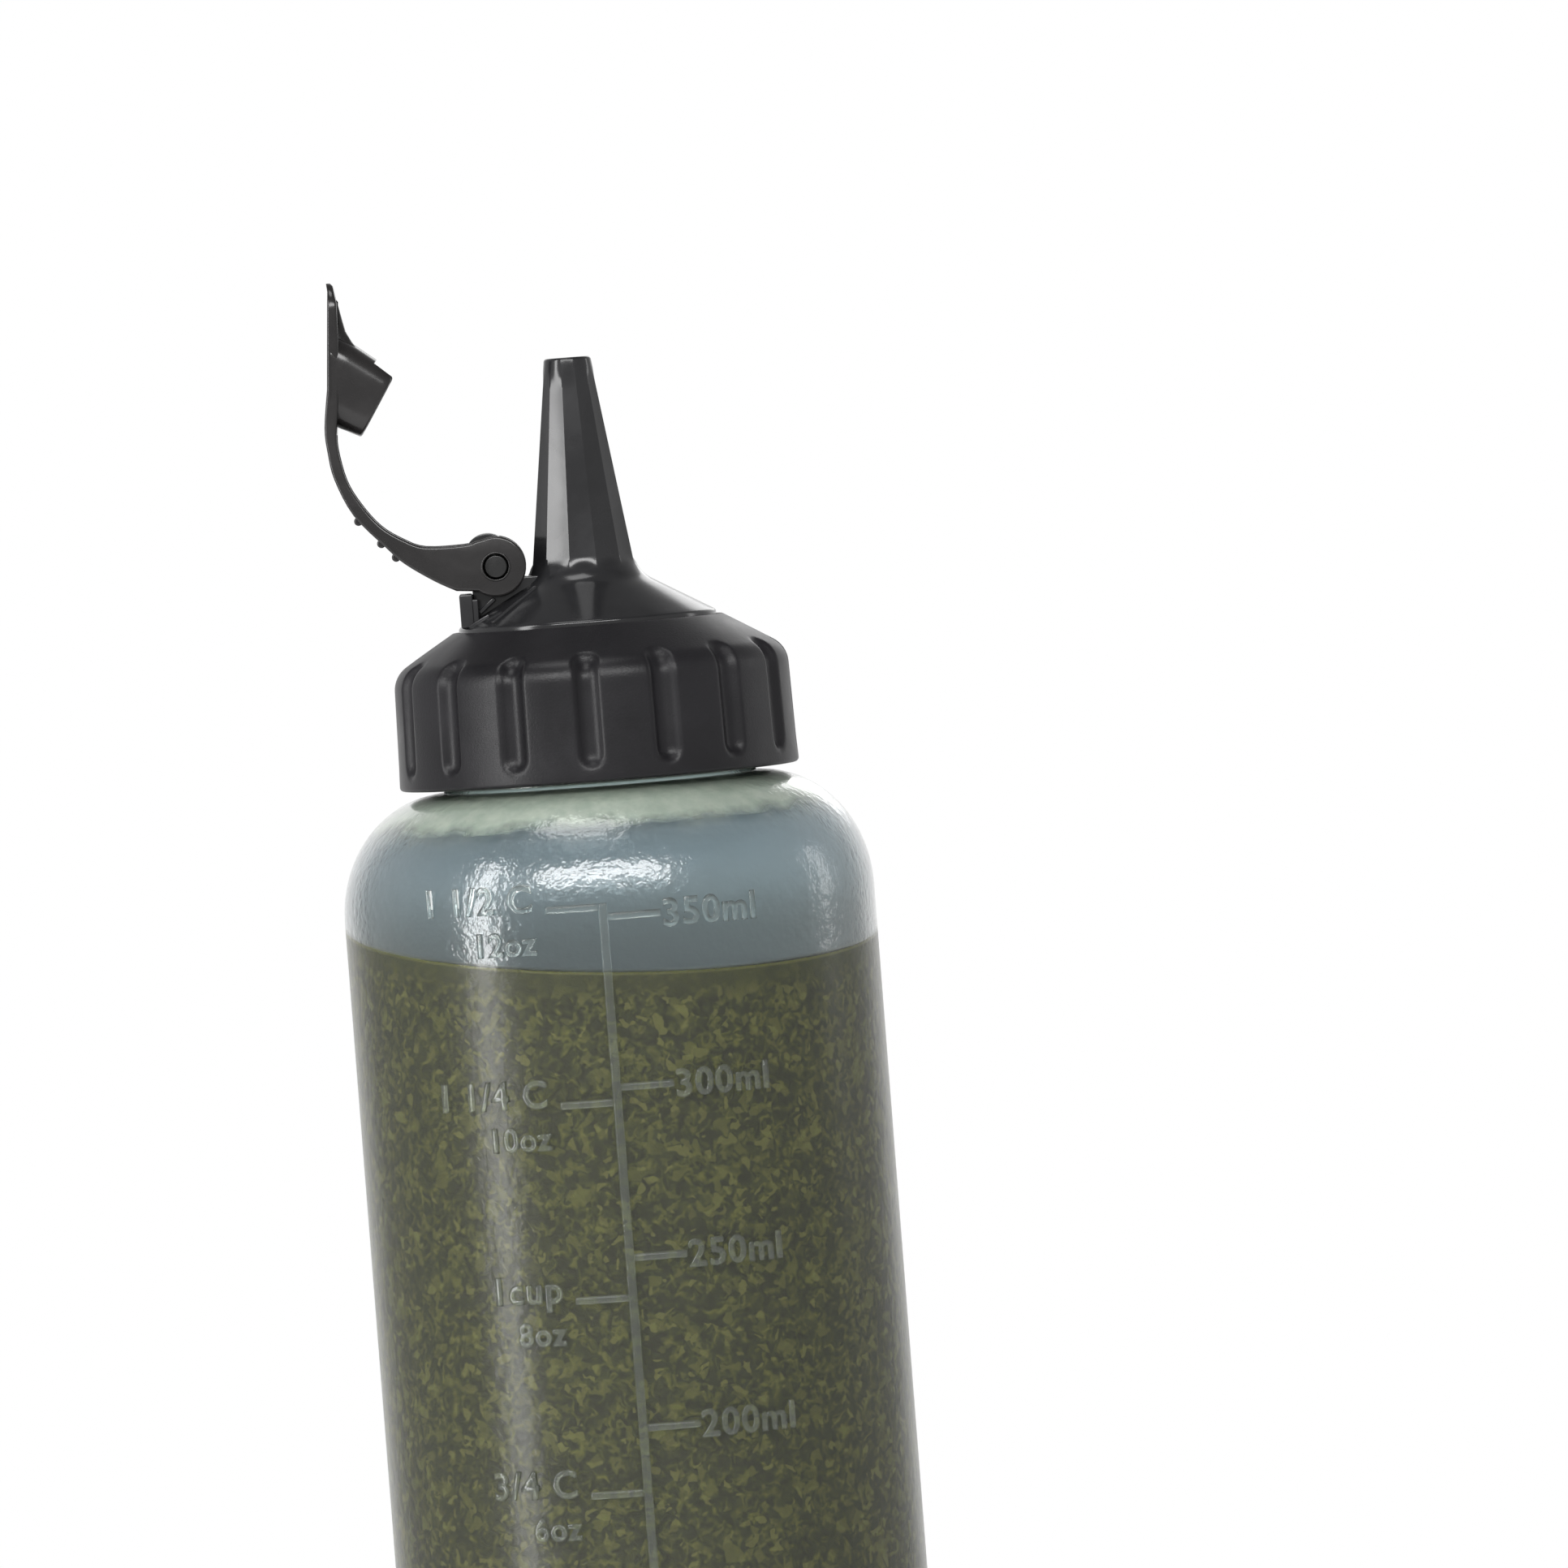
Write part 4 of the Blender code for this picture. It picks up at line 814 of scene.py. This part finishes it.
def thread(name, root, crest, low, turns, slot, body):
    """A screw ridge from a root radius to a crest radius, which fades in at both ends."""
    steps = int(TURN_STEPS * turns)
    section = ((root, -THREAD_FOOT), (crest, -THREAD_CREST), (crest, THREAD_CREST), (root, THREAD_FOOT))
    ridge = fresh(bpy.ops.mesh.primitive_plane_add, size=1.0)
    for corner, (radius, level) in zip((0, 1, 3, 2), section):
        ridge.data.vertices[corner].co = (radius * MM, 0, low + level * MM)
    edit(ridge)
    turn_step = turns * math.tau / steps
    for step in range(steps):
        extrude((0, 0, turn_step / math.tau * PITCH))
        bpy.ops.transform.rotate(value=-turn_step, orient_axis="Z", center_override=(0, 0, 0))
    tidy_mesh(ridge)
    top = max(vertex.co.z for vertex in ridge.data.vertices)
    reach = (top - low) / turns / THREAD_FADE
    for vertex in ridge.data.vertices:
        x, y, level = vertex.co
        radius = math.hypot(x, y)
        share = min(1.0, max(LEAST_SHARE, (level - low) / reach), max(LEAST_SHARE, (top - level) / reach))
        factor = (root * MM + (radius - root * MM) * share) / radius
        vertex.co = (x * factor, y * factor, level)
    ridge.data.transform(Matrix.Rotation(math.radians(THREAD_START), 4, "Z"))
    settle(ridge, name, slot, body, 40.0)


thread("neck_thread", 17.40, 18.70, THREAD_LOW, 1.35, "frosted_polythene", "bottle_body")
thread("cap_thread", 19.15, 17.95, THREAD_LOW + PITCH / 2, 1.25, "gloss_black", "cap_body")

# %% [markdown]
# The flip cover is one moulding: two ears that snap over the pin, a hollow curved arm with thumb ridges, a
# thin plate that ends in a tab, and a round cup that caps the nozzle's tip. It is modelled in its closed
# place, upright over the nozzle, because its outline is easiest to read there, and swung open at the end.
# The outline is traced with the points of a filled circle and extruded to the cover's width, and small
# insets round its two sides. Planes cut rows into the tab, which are then drawn in to round its end.

# %% Cover: outline of ears, arm and plate, seen along the pin, in mm from the pin
COVER_OPEN = 57.5  # degrees between closed and open
COVER_HALF = 5.5
COVER_DRAFT = 0.046  # how much each side draws in, for each mm up
EAR_RADIUS = 3.4
EAR_STEPS = 28
EAR_LAP = (23.0, 12.0)  # degrees that the ear's arc leaves free before the arm's two edges
NOZZLE_X = 9.78  # from the pin to the nozzle's axis
INNER_EDGE = ((1.47, 3.32), (0.46, 4.34), (-1.76, 8.00), (-2.20, 10.59), (-2.06, 13.50), (-0.95, 16.59),
              (0.66, 19.30), (3.41, 21.89), (5.34, 23.00))
OUTER_EDGE = ((-4.50, 2.59), (-4.70, 5.30), (-4.57, 9.09), (-3.96, 11.80), (-2.50, 16.71), (0.03, 20.50),
              (2.34, 22.59), (4.65, 24.21), (8.61, 26.00))
PLATE_UNDER = ((7.00, 23.75), (9.40, 24.95), (14.20, 27.55), (17.60, 29.60), (19.12, 30.90))
PLATE_TIP = ((19.25, 31.35), (19.02, 31.71), (18.27, 31.12))
QUARTER_ROUND = ((0.134, 0.500), (0.366, 0.366), (0.500, 0.134))  # three insets: inwards and outwards


def smooth_line(points, steps):
    """A smooth line through the points, each stretch cut into steps."""
    ends = [points[0], *points, points[-1]]
    line = []
    for stretch in zip(ends, ends[1:], ends[2:], ends[3:]):
        for step in range(steps):
            t = step / steps
            line.append(Vector([
                0.5 * (2 * b + (c - a) * t + (2 * a - 5 * b + 4 * c - d) * t * t
                       + (3 * b - a - 3 * c + d) * t ** 3) for a, b, c, d in zip(*stretch)]))
    line.append(Vector(points[-1]))
    return line


def slab(outline, half, rounding=0.0):
    """A filled circle whose points are moved to an outline of (x, z) in mm, extruded along Y."""
    piece = fresh(bpy.ops.mesh.primitive_circle_add, vertices=len(outline), radius=MM, fill_type="NGON")
    for vertex, (x, z) in zip(piece.data.vertices, outline):
        vertex.co = (x * MM, (rounding - half) * MM, z * MM)
    edit(piece)
    extrude((0, 2 * (half - rounding) * MM, 0))
    tidy_mesh(piece)
    if rounding:
        for end in [face.index for face in piece.data.polygons if len(face.vertices) == len(outline)]:
            edit(piece, "DESELECT")
            leave_edit()
            piece.data.polygons[end].select = True
            bpy.ops.object.mode_set(mode="EDIT")
            for inwards, outwards in QUARTER_ROUND:
                bpy.ops.mesh.inset(thickness=inwards * rounding * MM, depth=outwards * rounding * MM)
            leave_edit()
    return piece


def draw_in(piece):
    """Narrows a piece towards its top, so that it leaves its mould."""
    for vertex in piece.data.vertices:
        vertex.co.y *= 1 - COVER_DRAFT * max(vertex.co.z, 0.0) / (COVER_HALF * MM)
    return piece


inner_line = smooth_line(INNER_EDGE, 4)
outer_line = smooth_line(OUTER_EDGE, 4)
ear_start = math.atan2(outer_line[0].y, outer_line[0].x) + math.radians(EAR_LAP[0])
ear_end = math.atan2(inner_line[0].y, inner_line[0].x) + math.tau - math.radians(EAR_LAP[1])
ear_turns = [ear_start + (ear_end - ear_start) * step / EAR_STEPS for step in range(EAR_STEPS + 1)]
ear = [Vector((EAR_RADIUS * math.cos(turn), EAR_RADIUS * math.sin(turn))) for turn in ear_turns]
outline = ear + inner_line + [Vector(point) for point in PLATE_UNDER + PLATE_TIP] + outer_line[::-1]
cover = draw_in(slab(outline, COVER_HALF, 0.30))
print("cover outline of", len(outline), "points")

# %% Cover: rounded tab, then the hollow of the arm, the knuckle's room and the ears' holes
TAB_END = Vector((19.25, 31.40))
TAB_HALF = COVER_HALF - COVER_DRAFT * TAB_END.y
TAB_ROUNDING = 3.1
TAB_ROWS = (0.08, 0.22, 0.42, 0.7, 1.05, 1.5, 2.0, 2.6, TAB_ROUNDING)  # distances back from the end
WEB = 1.1  # thickness of the arm's outer side
POCKET_X = 4.4  # the arm is hollow up to here
POCKET_HALF = 4.2  # half of the hollow's width, and of the knuckle's room
KNUCKLE_ROOM = 4.324
EAR_BORE = 1.46
tab_along = (Vector(PLATE_TIP[-1]) - Vector(OUTER_EDGE[-1])).normalized()
for back in TAB_ROWS:
    cut_at = (TAB_END - tab_along * back) * MM
    edit(cover)
    bpy.ops.mesh.bisect(plane_co=(cut_at.x, 0, cut_at.y), plane_no=(tab_along.x, 0, tab_along.y))
leave_edit()
for vertex in cover.data.vertices:
    back = (TAB_END - vertex.co.xz / MM).dot(tab_along)
    if back < TAB_ROUNDING:
        drop = TAB_ROUNDING - math.sqrt(max(0.0, TAB_ROUNDING ** 2 - (TAB_ROUNDING - max(back, 0.0)) ** 2))
        vertex.co.y *= 1 - drop / TAB_HALF
web_line = []
for before, here, after in zip(outer_line, outer_line[1:], outer_line[2:]):
    if here.x > POCKET_X:
        break
    step_along = (after - before).normalized()
    web_line.append(here + WEB * Vector((step_along.y, -step_along.x)))
pocket = slab([Vector((0.0, 0.0)), Vector((4.6, EAR_RADIUS)), Vector((4.6, web_line[-1].y)),
               *web_line[::-1]], POCKET_HALF)
cut(cover, draw_in(pocket))
for radius, half in ((KNUCKLE_ROOM, POCKET_HALF), (EAR_BORE, 7.0)):
    cut(cover, rod(radius, half, 0.0, 0.0))
print("hollowed arm with", len(cover.data.vertices), "points")

# %% Cover: cup with its plug, web under the tab, rims of the ears' holes, and thumb ridges
CUP_RIM = 20.13  # height of the cup's rim, 2.6 mm down over the tip
CUP_WIDTH = 0.93  # of the cup along the pin, against its length
SQUARE = 3.4  # 2 is a round cup, higher is squarer
PLUG_RADIUS = 2.5  # the plug inside it stays round
PLATE_MIDDLE = (8.61, 25.55)  # a point half way through the plate, which hides the cup's top
RIDGE_PLACES = (0.31, 0.395, 0.48)  # of the thumb ridges, as shares of the arm's outer edge
RIDGE_RADIUS = 0.5
RIDGE_INSET = 0.65  # from a ridge's end to the side of the arm
cup = turned(((0.05, 22.95, 0), (2.0, 22.95, 0.25), (2.0, 23.90, 0.2), (3.55, 23.70, 0.3),
              (3.40, CUP_RIM, 0.20), (4.10, CUP_RIM, 0.28), (4.70, 25.80, 0), (4.80, 29.00, 0),
              (0.05, 29.00, 0)), 4, 72, 0.5 * MM, filled=True)
for vertex in cup.data.vertices:
    if vertex.co.xy.length > PLUG_RADIUS * MM:
        turn = math.atan2(vertex.co.y, vertex.co.x)
        vertex.co.xy *= (abs(math.cos(turn)) ** SQUARE + abs(math.sin(turn)) ** SQUARE) ** (-1 / SQUARE)
    vertex.co.y *= CUP_WIDTH
    vertex.co.x += NOZZLE_X * MM
    plate = PLATE_MIDDLE[1] * MM + (vertex.co.x - PLATE_MIDDLE[0] * MM) * tab_along.y / tab_along.x
    vertex.co.z = min(vertex.co.z, plate)
tidy_mesh(cup)
cut(cup, block((11.1, -2.97, CUP_RIM - 1), (16.0, 2.97, 22.73)))
fairing = slab(((12.6, 24.9), (14.1, 24.9), (14.62, 26.1), (15.3, 27.25), (16.25, 28.2), (17.9, 29.75),
                (18.2, 30.5), (12.6, 27.3)), 3.0, 0.6)
for vertex in fairing.data.vertices:
    vertex.co.y *= 1.10 - 0.14 * (vertex.co.x / MM - 12.6)
cover_pieces = [cover, cup, fairing]
rim_line = rounded(((EAR_BORE, 5.20, 0), (EAR_BORE, 5.57, 0.07), (1.62, 5.57, 0.09), (1.70, 5.40, 0),
                    (EAR_BORE, 5.20, 0)), 4)
for side in (-1, 1):
    rim = raise_rings([Vector((across, side * up)) for across, up in rim_line], PIN_SIDES)
    cover_pieces.append(lie_along_pin(rim, 0.0, 0.0))
for share in RIDGE_PLACES:
    place = share * (len(outer_line) - 1)
    here = outer_line[int(place)].lerp(outer_line[int(place) + 1], place % 1.0)
    half = COVER_HALF - RIDGE_INSET - COVER_DRAFT * here.y
    ridge = turned(((AXIS, half, 0), (RIDGE_RADIUS, half, 0.2), (RIDGE_RADIUS, -half, 0.2),
                    (AXIS, -half, 0)), 3, 24, filled=True)
    cover_pieces.append(lie_along_pin(ridge, here.x * MM, here.y * MM))
cover = join(cover_pieces)
swing = Matrix.Translation((PIN_X, 0, PIN_Z)) @ Matrix.Rotation(math.radians(-COVER_OPEN), 4, "Y")
cover.data.transform(swing)
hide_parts("tip_cover")
settle(cover, "tip_cover_moulding", "cover_black", "cover_body", 38.0)

# %% [markdown]
# The bottle is blow-moulded in one piece: a thin wall, a round shoulder, a screw neck and a base that is
# pushed up in the middle. It is turned here from one line that runs up the outside, over the lip and down
# the inside, so that the wall has its true thickness and bends the light as a real one does. Its inner
# points are marked, because a blown wall is smooth where the cold mould touched it and duller inside.

# %% Bottle
BOTTLE_SIDES = 160
BOTTLE_ROW = 4.0 * MM
SHOULDER_FOOT = 141.0  # in mm, where the straight side ends
NECK_FOOT = 154.8  # above it the middle of the wall is at this radius:
NECK_MIDDLE = 16.7
SHOULDER_MIDDLE = (16.9, 12.4, 13.0)  # the middle of the shoulder's wall: its centre, reach out, reach up
SIDE_MIDDLE = 29.3  # the middle of the side's wall
BASE_MIDDLE = 3.3  # and the height up to which all points count as the outside of the base


def quarter(centre, across, up, steps, upwards=True):
    """A quarter of an ellipse over the shoulder's foot, in mm, from its side up to its top or back."""
    turns = [math.pi / 2 * step / steps for step in range(steps + 1)]
    points = [Vector((centre + across * math.cos(turn), SHOULDER_FOOT + up * math.sin(turn))) * MM
              for turn in turns]
    return points if upwards else points[::-1]


outside = rounded(((0.6, 2.60, 0), (19.45, 2.30, 1.2), (21.05, 0.0, 0.4), (29.85, 0.0, 5.0),
                   (29.85, 140.0, 0)), 6)
outside += quarter(17.75, 12.10, 13.70, 22)
lip = rounded(((17.75, 154.72, 0), (17.50, 155.0, 0.2), (17.50, 165.40, 0.40), (15.80, 165.40, 0.40),
               (15.80, 154.70, 0)), 4)
inside = quarter(16.05, 12.70, 12.30, 22, upwards=False)
inside += rounded(((28.75, 140.0, 0), (28.75, 1.40, 5.0), (21.05, 1.40, 0.4), (19.45, 3.70, 1.2),
                   (0.6, 4.00, 0)), 6)
bottle_wall = raise_rings(divided(outside + lip + inside, BOTTLE_ROW), BOTTLE_SIDES, filled=True)
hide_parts("bottle")
settle(bottle_wall, "bottle_wall", "frosted_polythene", "bottle_body", 50.0)
inner_side = bottle_wall.data.attributes.new("inner_side", "FLOAT", "POINT")
for vertex in bottle_wall.data.vertices:
    radius, level = vertex.co.xy.length / MM, vertex.co.z / MM
    if level > NECK_FOOT:
        is_inner = radius < NECK_MIDDLE
    elif level > SHOULDER_FOOT:
        centre, across, up = SHOULDER_MIDDLE
        is_inner = (max(radius - centre, 0.0) / across) ** 2 + ((level - SHOULDER_FOOT) / up) ** 2 < 1.0
    else:
        is_inner = radius < SIDE_MIDDLE and level > BASE_MIDDLE
    inner_side.data[vertex.index].value = float(is_inner)
print("inner points:", sum(round(value.value) for value in inner_side.data))

# %% [markdown]
# The dressing wets the wall. Seen from outside it therefore fills the bottle right to its edge, with no
# gap of air that would mirror the light. So it reaches a little way into the wall's inner side. Its
# surface is level in the world, which makes it tilted in the leaning bottle, and slightly lumpy.

# %% Dressing
FILL_SIDES = 160
FILL_ROW = 2.5 * MM
FILL_RADIUS = 28.95  # in mm, 0.2 mm into the wall
LEAN_FROM = 100 * MM  # below this height the rows stay level
fill_top = LEVEL / MM
dressing = turned(((0.6, 3.95, 0), (19.45, 3.65, 1.2), (21.05, 1.25, 0.4), (FILL_RADIUS, 1.25, 4.9),
                   (FILL_RADIUS, fill_top, 0.5), (0.6, fill_top, 0)), 6, FILL_SIDES, FILL_ROW, filled=True)
for vertex in dressing.data.vertices:
    lean = max(0.0, (vertex.co.z - LEAN_FROM) / (LEVEL - LEAN_FROM))
    vertex.co.z += lean * (surface_height(vertex.co.x, vertex.co.y) - LEVEL)
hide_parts("dressing")
settle(dressing, "dressing_fill", "herb_dressing", "bottle_body", 50.0)

# %% [markdown]
# On the shoulder the plastic is thicker and cloudier than on the wall, with a ragged lower edge where it
# thins out. A thin skin that lies inside the shoulder's wall stands for that cloudy layer. Mixing it into
# the wall's own material would be simpler, but a wall that lets light through can't be milky in one place.

# %% Cloudy skin inside the shoulder's wall
SKIN_STEPS = 24  # in a quarter, of which the upper half is used
skin_outer = quarter(17.10, 12.25, 13.10, SKIN_STEPS)[SKIN_STEPS // 2:]
skin_inner = quarter(17.10, 12.05, 12.90, SKIN_STEPS)[SKIN_STEPS // 2:]
cloudy_skin = raise_rings(skin_outer + skin_inner[::-1] + skin_outer[:1], 128)
settle(cloudy_skin, "shoulder_skin", "frosted_polythene", "bottle_body", 50.0, "cloudy_shoulder")

# %% [markdown]
# The hinge pin is a plain turned part, thicker inside the knuckle than in the ears, so the ears snap over
# its ends and hold it. The seal is a ring with a small lip. Its measured shape is right, but made of flat
# facets with hard edges, so a merged copy of it gets rounded edges and smooth shading.

# %% Hinge pin
pin = turned(((AXIS, -5.15, 0), (1.27, -5.15, 0.14), (1.27, -4.10, 0.05), (1.60, -3.90, 0.08),
              (1.60, 3.90, 0.08), (1.27, 4.10, 0.05), (1.27, 5.15, 0.14), (AXIS, 5.15, 0)),
             4, PIN_SIDES, filled=True)
lie_along_pin(pin, PIN_X, PIN_Z)
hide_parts("hinge_pin")
settle(pin, "hinge_pin_moulding", "pin_black", BODY_OF["hinge_pin"], 35.0)

# %% Seal washer
seal = bpy.data.objects.new("seal_washer", nodes["seal_washer"].data.copy())
scene.collection.objects.link(seal)
tidy_mesh(seal, 0.005 * MM)
edit(seal)
bpy.ops.mesh.dissolve_limited(angle_limit=math.radians(0.6))
leave_edit()
round_edges(seal, 0.15 * MM, 35.0, 3)
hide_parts("seal_washer")
settle(seal, "seal_washer_moulding", "seal_silicone", BODY_OF["seal_washer"], 35.0)

# %% [markdown]
# A scale is moulded on the bottle's front: an upright line with short ticks, millilitres on its right and
# cups and ounces on its left. Each mark is modelled flat and then wrapped round the wall by its vertices,
# which keeps every letter upright and at one depth. A texture would be quicker, but would catch no light.

# %% Helpers for raised marks
WALL_RADIUS = 29.85 * MM
MARK_SINK = 0.10 * MM  # how deep a mark's back lies in the wall
MARK_RISE = 0.32 * MM  # how far a mark stands out
MARK_MIDDLE = (MARK_RISE - MARK_SINK) / 2
BAR_ROUNDING = 0.28 * MM
LONG_PARTS = 8  # parts of a long bar, so that it bends round the wall
CAPITAL_SHARE = 0.70  # height of a capital, as a share of the letters' size
LETTER_ROUNDING = 0.20 * MM
LETTER_INSET = 0.05 * MM  # how much thinner the strokes are drawn than in the letter form
scale_marks = []


def wrap(piece, turn, level):
    """Bends a flat piece round the wall, with its own X along the wall from the angle turn."""
    for vertex in piece.data.vertices:
        angle = math.radians(turn) + vertex.co.x / WALL_RADIUS
        radius = WALL_RADIUS + vertex.co.z
        vertex.co = (radius * math.sin(angle), -radius * math.cos(angle), level + vertex.co.y)
    scale_marks.append(piece)


def add_bar(turn, level, length, width):
    """A raised bar from the angle turn, length along the wall and centred on level."""
    bar = fresh(bpy.ops.mesh.primitive_cube_add, (length / 2, 0, MARK_MIDDLE), size=1.0)
    bar.scale = (length, width, MARK_RISE + MARK_SINK)
    bpy.ops.object.transform_apply(location=True, rotation=False, scale=True)
    edit(bar, "DESELECT")
    leave_edit()
    for edge in bar.data.edges:
        edge.select = all(bar.data.vertices[index].co.z > 0 for index in edge.vertices)
    bpy.ops.object.mode_set(mode="EDIT")
    bpy.ops.mesh.select_mode(type="EDGE")
    bpy.ops.mesh.bevel(offset=BAR_ROUNDING, segments=4)
    if length > 2 * width:
        for part in range(1, LONG_PARTS):
            bpy.ops.mesh.select_all(action="SELECT")
            bpy.ops.mesh.bisect(plane_co=(length * part / LONG_PARTS, 0, 0), plane_no=(1, 0, 0))
    leave_edit()
    wrap(bar, turn, level)


def add_words(words, turn, baseline, tall, align):
    """Raised letters of a height, which start or end at the angle turn."""
    letters = fresh(bpy.ops.object.text_add).data
    letters.body = words
    letters.size = tall / CAPITAL_SHARE
    letters.space_character = 1.10
    letters.align_x = align
    letters.offset = -LETTER_INSET
    letters.extrude = (MARK_RISE + MARK_SINK) / 2 - LETTER_ROUNDING
    letters.bevel_depth = LETTER_ROUNDING
    letters.bevel_resolution = 2
    letters.resolution_u = 4
    bpy.ops.object.convert(target="MESH")
    raised = bpy.context.object
    raised.data.transform(Matrix.Translation((0, 0, MARK_MIDDLE)))
    wrap(raised, turn, baseline)


print("marks stand out by", round(MARK_RISE / MM, 2), "mm")

# %% Line, ticks and words of the scale
LINE_TURN = -1.8  # degrees from the front, to the left
LINE_WIDTH = 1.0 * MM
TICK_WIDTH = 0.85 * MM
TICK_LENGTH = 5.9 * MM
WORDS_TURN = 10.6  # where the right words start
LEFT_WORDS_TURN = -16.7  # where the left words end
LETTER_HEIGHT = 2.95 * MM
OUNCE_HEIGHT = 2.5 * MM
OUNCE_DROP = 4.7 * MM  # from the cups' base line to the ounces' below it
TOP_AMOUNT = 350  # the highest mark in millilitres
TOP_MARK = 140.67 * MM  # and its height
AMOUNT_STEP = 50
MARK_STEP = 18.85 * MM
CUPS = (("1 1/2 C", "12oz"), ("1 1/4 C", "10oz"), ("1cup", "8oz"), ("3/4 C", "6oz"), ("1/2 C", "4oz"),
        ("1/4 C", "2oz"))
CUP_TOP = 141.8 * MM
CUP_STEP = 21.6 * MM
amounts = range(TOP_AMOUNT, 0, -AMOUNT_STEP)
line_low = TOP_MARK - (len(amounts) - 1) * MARK_STEP - TICK_WIDTH / 2
line_high = CUP_TOP + TICK_WIDTH / 2
half_line = math.degrees(LINE_WIDTH / 2 / WALL_RADIUS)

add_bar(LINE_TURN - half_line, (line_low + line_high) / 2, LINE_WIDTH, line_high - line_low)
for index, amount in enumerate(amounts):
    level = TOP_MARK - index * MARK_STEP
    add_bar(LINE_TURN + half_line, level, TICK_LENGTH, TICK_WIDTH)
    add_words(f"{amount}ml", WORDS_TURN, level - LETTER_HEIGHT / 2, LETTER_HEIGHT, "LEFT")
for index, (cups, ounces) in enumerate(CUPS):
    level = CUP_TOP - index * CUP_STEP
    add_bar(LINE_TURN - half_line - math.degrees(TICK_LENGTH / WALL_RADIUS), level, TICK_LENGTH, TICK_WIDTH)
    add_words(cups, LEFT_WORDS_TURN, level, LETTER_HEIGHT, "RIGHT")
    add_words(ounces, LEFT_WORDS_TURN, level - OUNCE_DROP, OUNCE_HEIGHT, "RIGHT")
print("raised marks:", len(scale_marks))

# %% Join the scale into one piece
volume_scale = join(scale_marks)
tidy_mesh(volume_scale)
settle(volume_scale, "volume_scale", "frosted_polythene", "bottle_body", 40.0, "raised_marks")
